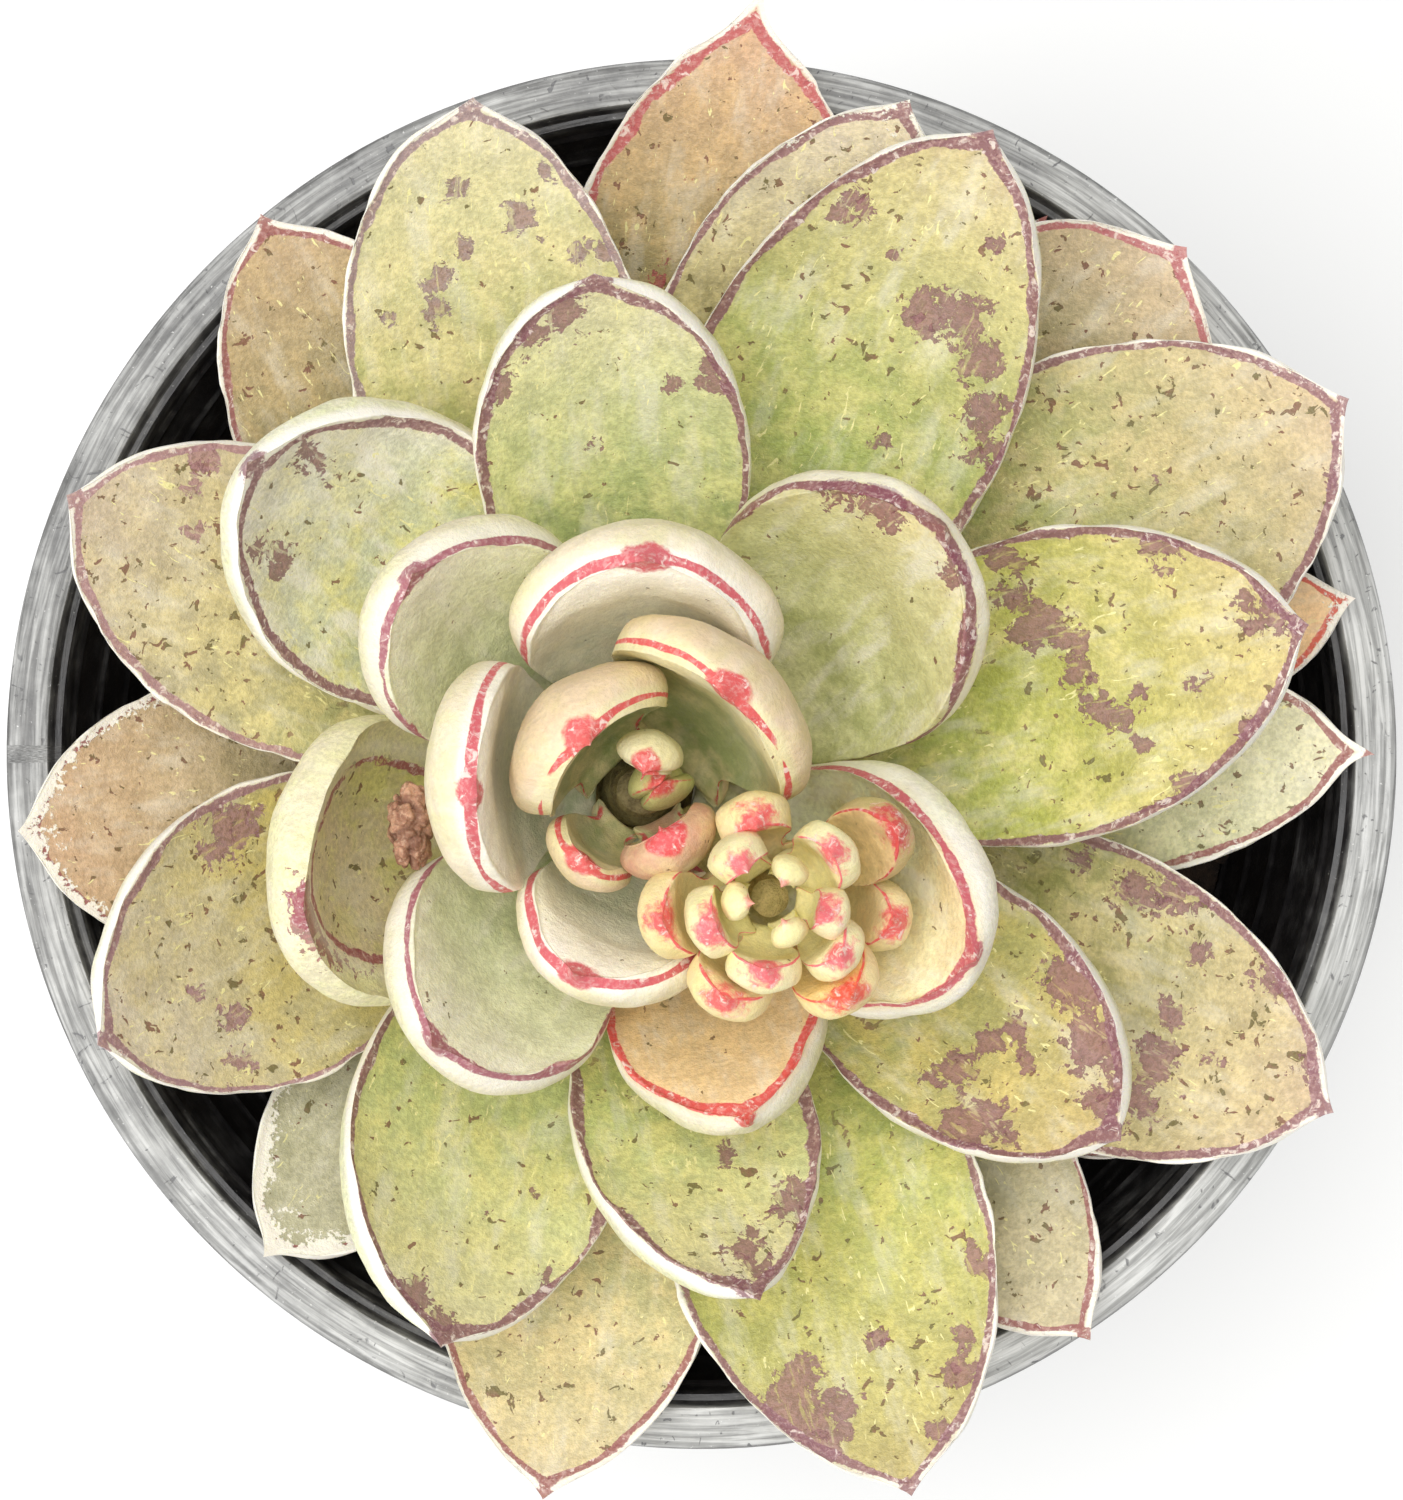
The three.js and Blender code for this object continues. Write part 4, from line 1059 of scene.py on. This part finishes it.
def soilPiece(material):
    around, rings = soil["around"], soil["rings"]
    floor = soilBox[0].z / mm
    outside = soilBox[1].x / mm
    bottom = outside * soil["footShare"]
    rows = [[bottom * 0.5, floor], [bottom, floor], [outside - 0.3, soil["level"] - 1.5]]
    share = np.linspace(1, 0.03, rings)
    rows += [[(outside - 0.2) * s, soil["level"] + soil["top"] * (1 - s ** 2) ** 0.8] for s in share]
    grid = ringGrid(np.array(rows), around)
    flat = grid.reshape(-1, 3)
    lumps = (soil["lumps"] * wander(flat, soil["lumpWave"], 3)
             + soil["crumbs"] * wander(flat, soil["crumbWave"], 4))
    lumps = lumps.reshape(grid.shape[:2])
    lumps[:3] = 0
    grid[..., 2] += lumps * np.clip((1 - np.concatenate([[1, 1, 1], share])) * 8, 0, 1)[:, None]
    points = withPoles((0, 0, floor), grid, (0, 0, soil["level"] + soil["top"]))
    return newPiece("potting_mix", points * mm, closedGrid(len(rows), around), material)


# Geometry Nodes: small stones strewn over the top of the mix.
def gritTree(material, sizes):
    tree = bpy.data.node_groups.new("grit", "GeometryNodeTree")
    tree.interface.new_socket("Geometry", in_out="INPUT", socket_type="NodeSocketGeometry")
    sockets = treeInputs(tree, {"Density": sizes["density"], "Size": sizes["size"] * mm,
                                "Seed": sizes["seed"]})
    start = addNode(tree, "NodeGroupInput")
    up = addNode(tree, "GeometryNodeInputNormal")
    split = addNode(tree, "ShaderNodeSeparateXYZ", {0: up.outputs[0]})
    facing = addNode(tree, "FunctionNodeCompare", {0: split.outputs["Z"], 1: stoneShape["upright"]},
                     operation="GREATER_THAN")
    spread = addNode(tree, "GeometryNodeDistributePointsOnFaces",
                     {"Mesh": start.outputs["Geometry"], "Selection": facing.outputs[0],
                      "Density": start.outputs["Density"], "Seed": start.outputs["Seed"]})
    stone = addNode(tree, "GeometryNodeMeshIcoSphere", {"Radius": start.outputs["Size"], "Subdivisions": 1})
    lump = addNode(tree, "ShaderNodeTexNoise", {"Scale": stoneShape["lumpScale"], "Detail": 1.0})
    shift = addNode(tree, "ShaderNodeVectorMath", {0: lump.outputs["Color"], 1: (0.5, 0.5, 0.5)},
                    operation="SUBTRACT")
    grow = addNode(tree, "ShaderNodeVectorMath", {0: shift.outputs[0], "Scale": stoneShape["lump"]},
                   operation="SCALE")
    bent = addNode(tree, "GeometryNodeSetPosition",
                   {"Geometry": stone.outputs[0], "Offset": grow.outputs[0]})
    turn = addNode(tree, "FunctionNodeRandomValue", {"Max": stoneShape["turn"]}, data_type="FLOAT_VECTOR")
    scale = addNode(tree, "FunctionNodeRandomValue",
                    {"Min": stoneShape["smallest"], "Max": stoneShape["largest"]}, data_type="FLOAT_VECTOR")
    onPoints = addNode(tree, "GeometryNodeInstanceOnPoints",
                       {"Points": spread.outputs["Points"], "Instance": bent.outputs[0],
                        "Rotation": turn.outputs[0], "Scale": scale.outputs[0]})
    endTree(tree, onPoints.outputs[0], material)
    return tree, sockets


darkMix = soilMaterial("pottingMix", (0.13, 0.10, 0.08), (0.26, 0.20, 0.15), 0.35)
paleGrit = soilMaterial("paleGrit", (0.46, 0.41, 0.34), (0.66, 0.62, 0.55), 0.3)
soilTop = soilPiece(darkMix)
for label, material, sizes in (("dark_chips", darkMix, darkChips), ("pale_grit", paleGrit, paleStones)):
    chips = fromNodes(label, *gritTree(material, sizes), soilTop.data.copy())
    finishPiece(chips, "potting_mix")
finishPiece(soilTop, "potting_mix", "soil")
print("potting mix")


husk = {"around": 90, "rows": 70, "folds": 0.34, "foldWave": 3.4, "creaseWave": 1.5, "crinkle": 0.16,
        "crinkleWave": 1.1, "poleShare": 0.9, "seed": 77}


def driedPaper():
    material, tree, shader = newMaterial("driedLeaf")
    place = objectPlace(tree)
    medium = noise(tree, place, 0.7, 5, 0.65, 0.6)
    fine = noise(tree, place, 3.2, 4, 0.6)
    colour = mixColour(tree, ramp(tree, medium, 0.36, 0.64), tone(0.55, 0.38, 0.29), tone(0.80, 0.62, 0.50))
    colour = mixColour(tree, ramp(tree, fine, 0.5, 0.7, 0, 0.5), colour, tone(0.90, 0.76, 0.64))
    # painted shade: the sunken folds are darkened
    paintedFoldShade = attribute(tree, "fold")
    colour = mixColour(tree, ramp(tree, paintedFoldShade, 0.1, 0.8, 0, 0.6), colour, tone(0.36, 0.20, 0.14))
    tree.links.new(colour, shader.inputs["Base Color"])
    shader.inputs["Roughness"].default_value = 0.7
    shader.inputs["Subsurface Weight"].default_value = 0.1
    shader.inputs["Subsurface Scale"].default_value = 0.001
    addBump(tree, shader, fine, 0.5, 0.0003)
    return material


def driedPiece(material):
    low, high = (np.array(tuple(corner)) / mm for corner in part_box("dried_leaf"))
    centre, half = (low + high) / 2, (high - low) / 2
    around, rows = husk["around"], husk["rows"]
    tilt = np.linspace(-math.pi / 2, math.pi / 2, rows + 2)[1:-1]
    angle = turns(around)
    ball = np.zeros((rows, around, 3))
    ball[..., 0] = np.cos(tilt)[:, None] * np.cos(angle) * half[0]
    ball[..., 1] = np.sin(tilt)[:, None] * half[1]
    ball[..., 2] = -np.cos(tilt)[:, None] * np.sin(angle) * half[2]
    flat = ball.reshape(-1, 3)
    fold = (1 - np.abs(wander(flat, husk["foldWave"], husk["seed"]))) ** 3
    crease = (1 - np.abs(wander(flat, husk["creaseWave"], husk["seed"] + 1))) ** 3
    flat = flat * (1 - husk["folds"] * (0.65 * fold + 0.35 * crease))[:, None]
    crinkles = [wander(flat, husk["crinkleWave"], husk["seed"] + step) for step in (2, 3, 4)]
    flat += husk["crinkle"] * np.stack(crinkles, axis=1)
    pole = half[1] * husk["poleShare"]
    points = withPoles((0, -pole, 0), flat, (0, pole, 0)) + centre
    piece = newPiece("dried_leaf_husk", points * mm, closedGrid(rows, around), material)
    setAttribute(piece.data, "fold", np.concatenate([[0.5], fold, [0.5]]))
    return piece


finishPiece(driedPiece(driedPaper()), "dried_leaf", "dried_leaf")
print("dried leaf")


floor = {"reach": 3.0, "gap": 0.0002}
floorMaterial, floorTree, floorShader = newMaterial("paleFloor")
floorShader.inputs["Base Color"].default_value = tone(0.97, 0.97, 0.965)
floorShader.inputs["Roughness"].default_value = 0.9
corners = [(x * floor["reach"], y * floor["reach"], 0) for x, y in ((-1, -1), (1, -1), (1, 1), (-1, 1))]
floorPiece = newPiece("floor", corners, [(0, 1, 2, 3)], floorMaterial)
floorPiece.location.z = -floor["gap"]

lights = {
    "overhead": {"place": (-0.15, 0.1, 0.95), "size": 0.9, "watts": 8},
    "side": {"place": (-0.6, -0.5, 0.6), "size": 0.6, "watts": 3},
}
lightAim = 0.09
for name, settings in lights.items():
    lamp = bpy.data.lights.new(name, "AREA")
    lamp.shape = "DISK"
    lamp.size = settings["size"]
    lamp.energy = settings["watts"]
    holder = bpy.data.objects.new(name, lamp)
    scene.collection.objects.link(holder)
    holder.location = settings["place"]
    aim = holder.location * -1
    aim.z += lightAim
    holder.rotation_mode = "QUATERNION"
    holder.rotation_quaternion = aim.to_track_quat("-Z", "Y")
world = bpy.data.worlds.new("studio")
world.use_nodes = True
world.node_tree.nodes["Background"].inputs["Color"].default_value = (1, 1, 1, 1)
world.node_tree.nodes["Background"].inputs["Strength"].default_value = 0.45
scene.world = world

view = {"above": 310, "fieldHeight": 56.48, "reach": 220, "sensor": 24, "shiftY": 0.0027}
cameraData = bpy.data.cameras.new("camera")
cameraData.sensor_fit = "VERTICAL"
cameraData.sensor_height = view["sensor"]
cameraData.lens = view["sensor"] / 2 / (view["fieldHeight"] / view["reach"])
cameraData.shift_y = view["shiftY"]
cameraData.clip_start = 0.01
camera = bpy.data.objects.new("camera", cameraData)
camera.location = (0, 0, view["above"] * mm)
scene.collection.objects.link(camera)
scene.camera = camera
scene.view_settings.view_transform = "Standard"
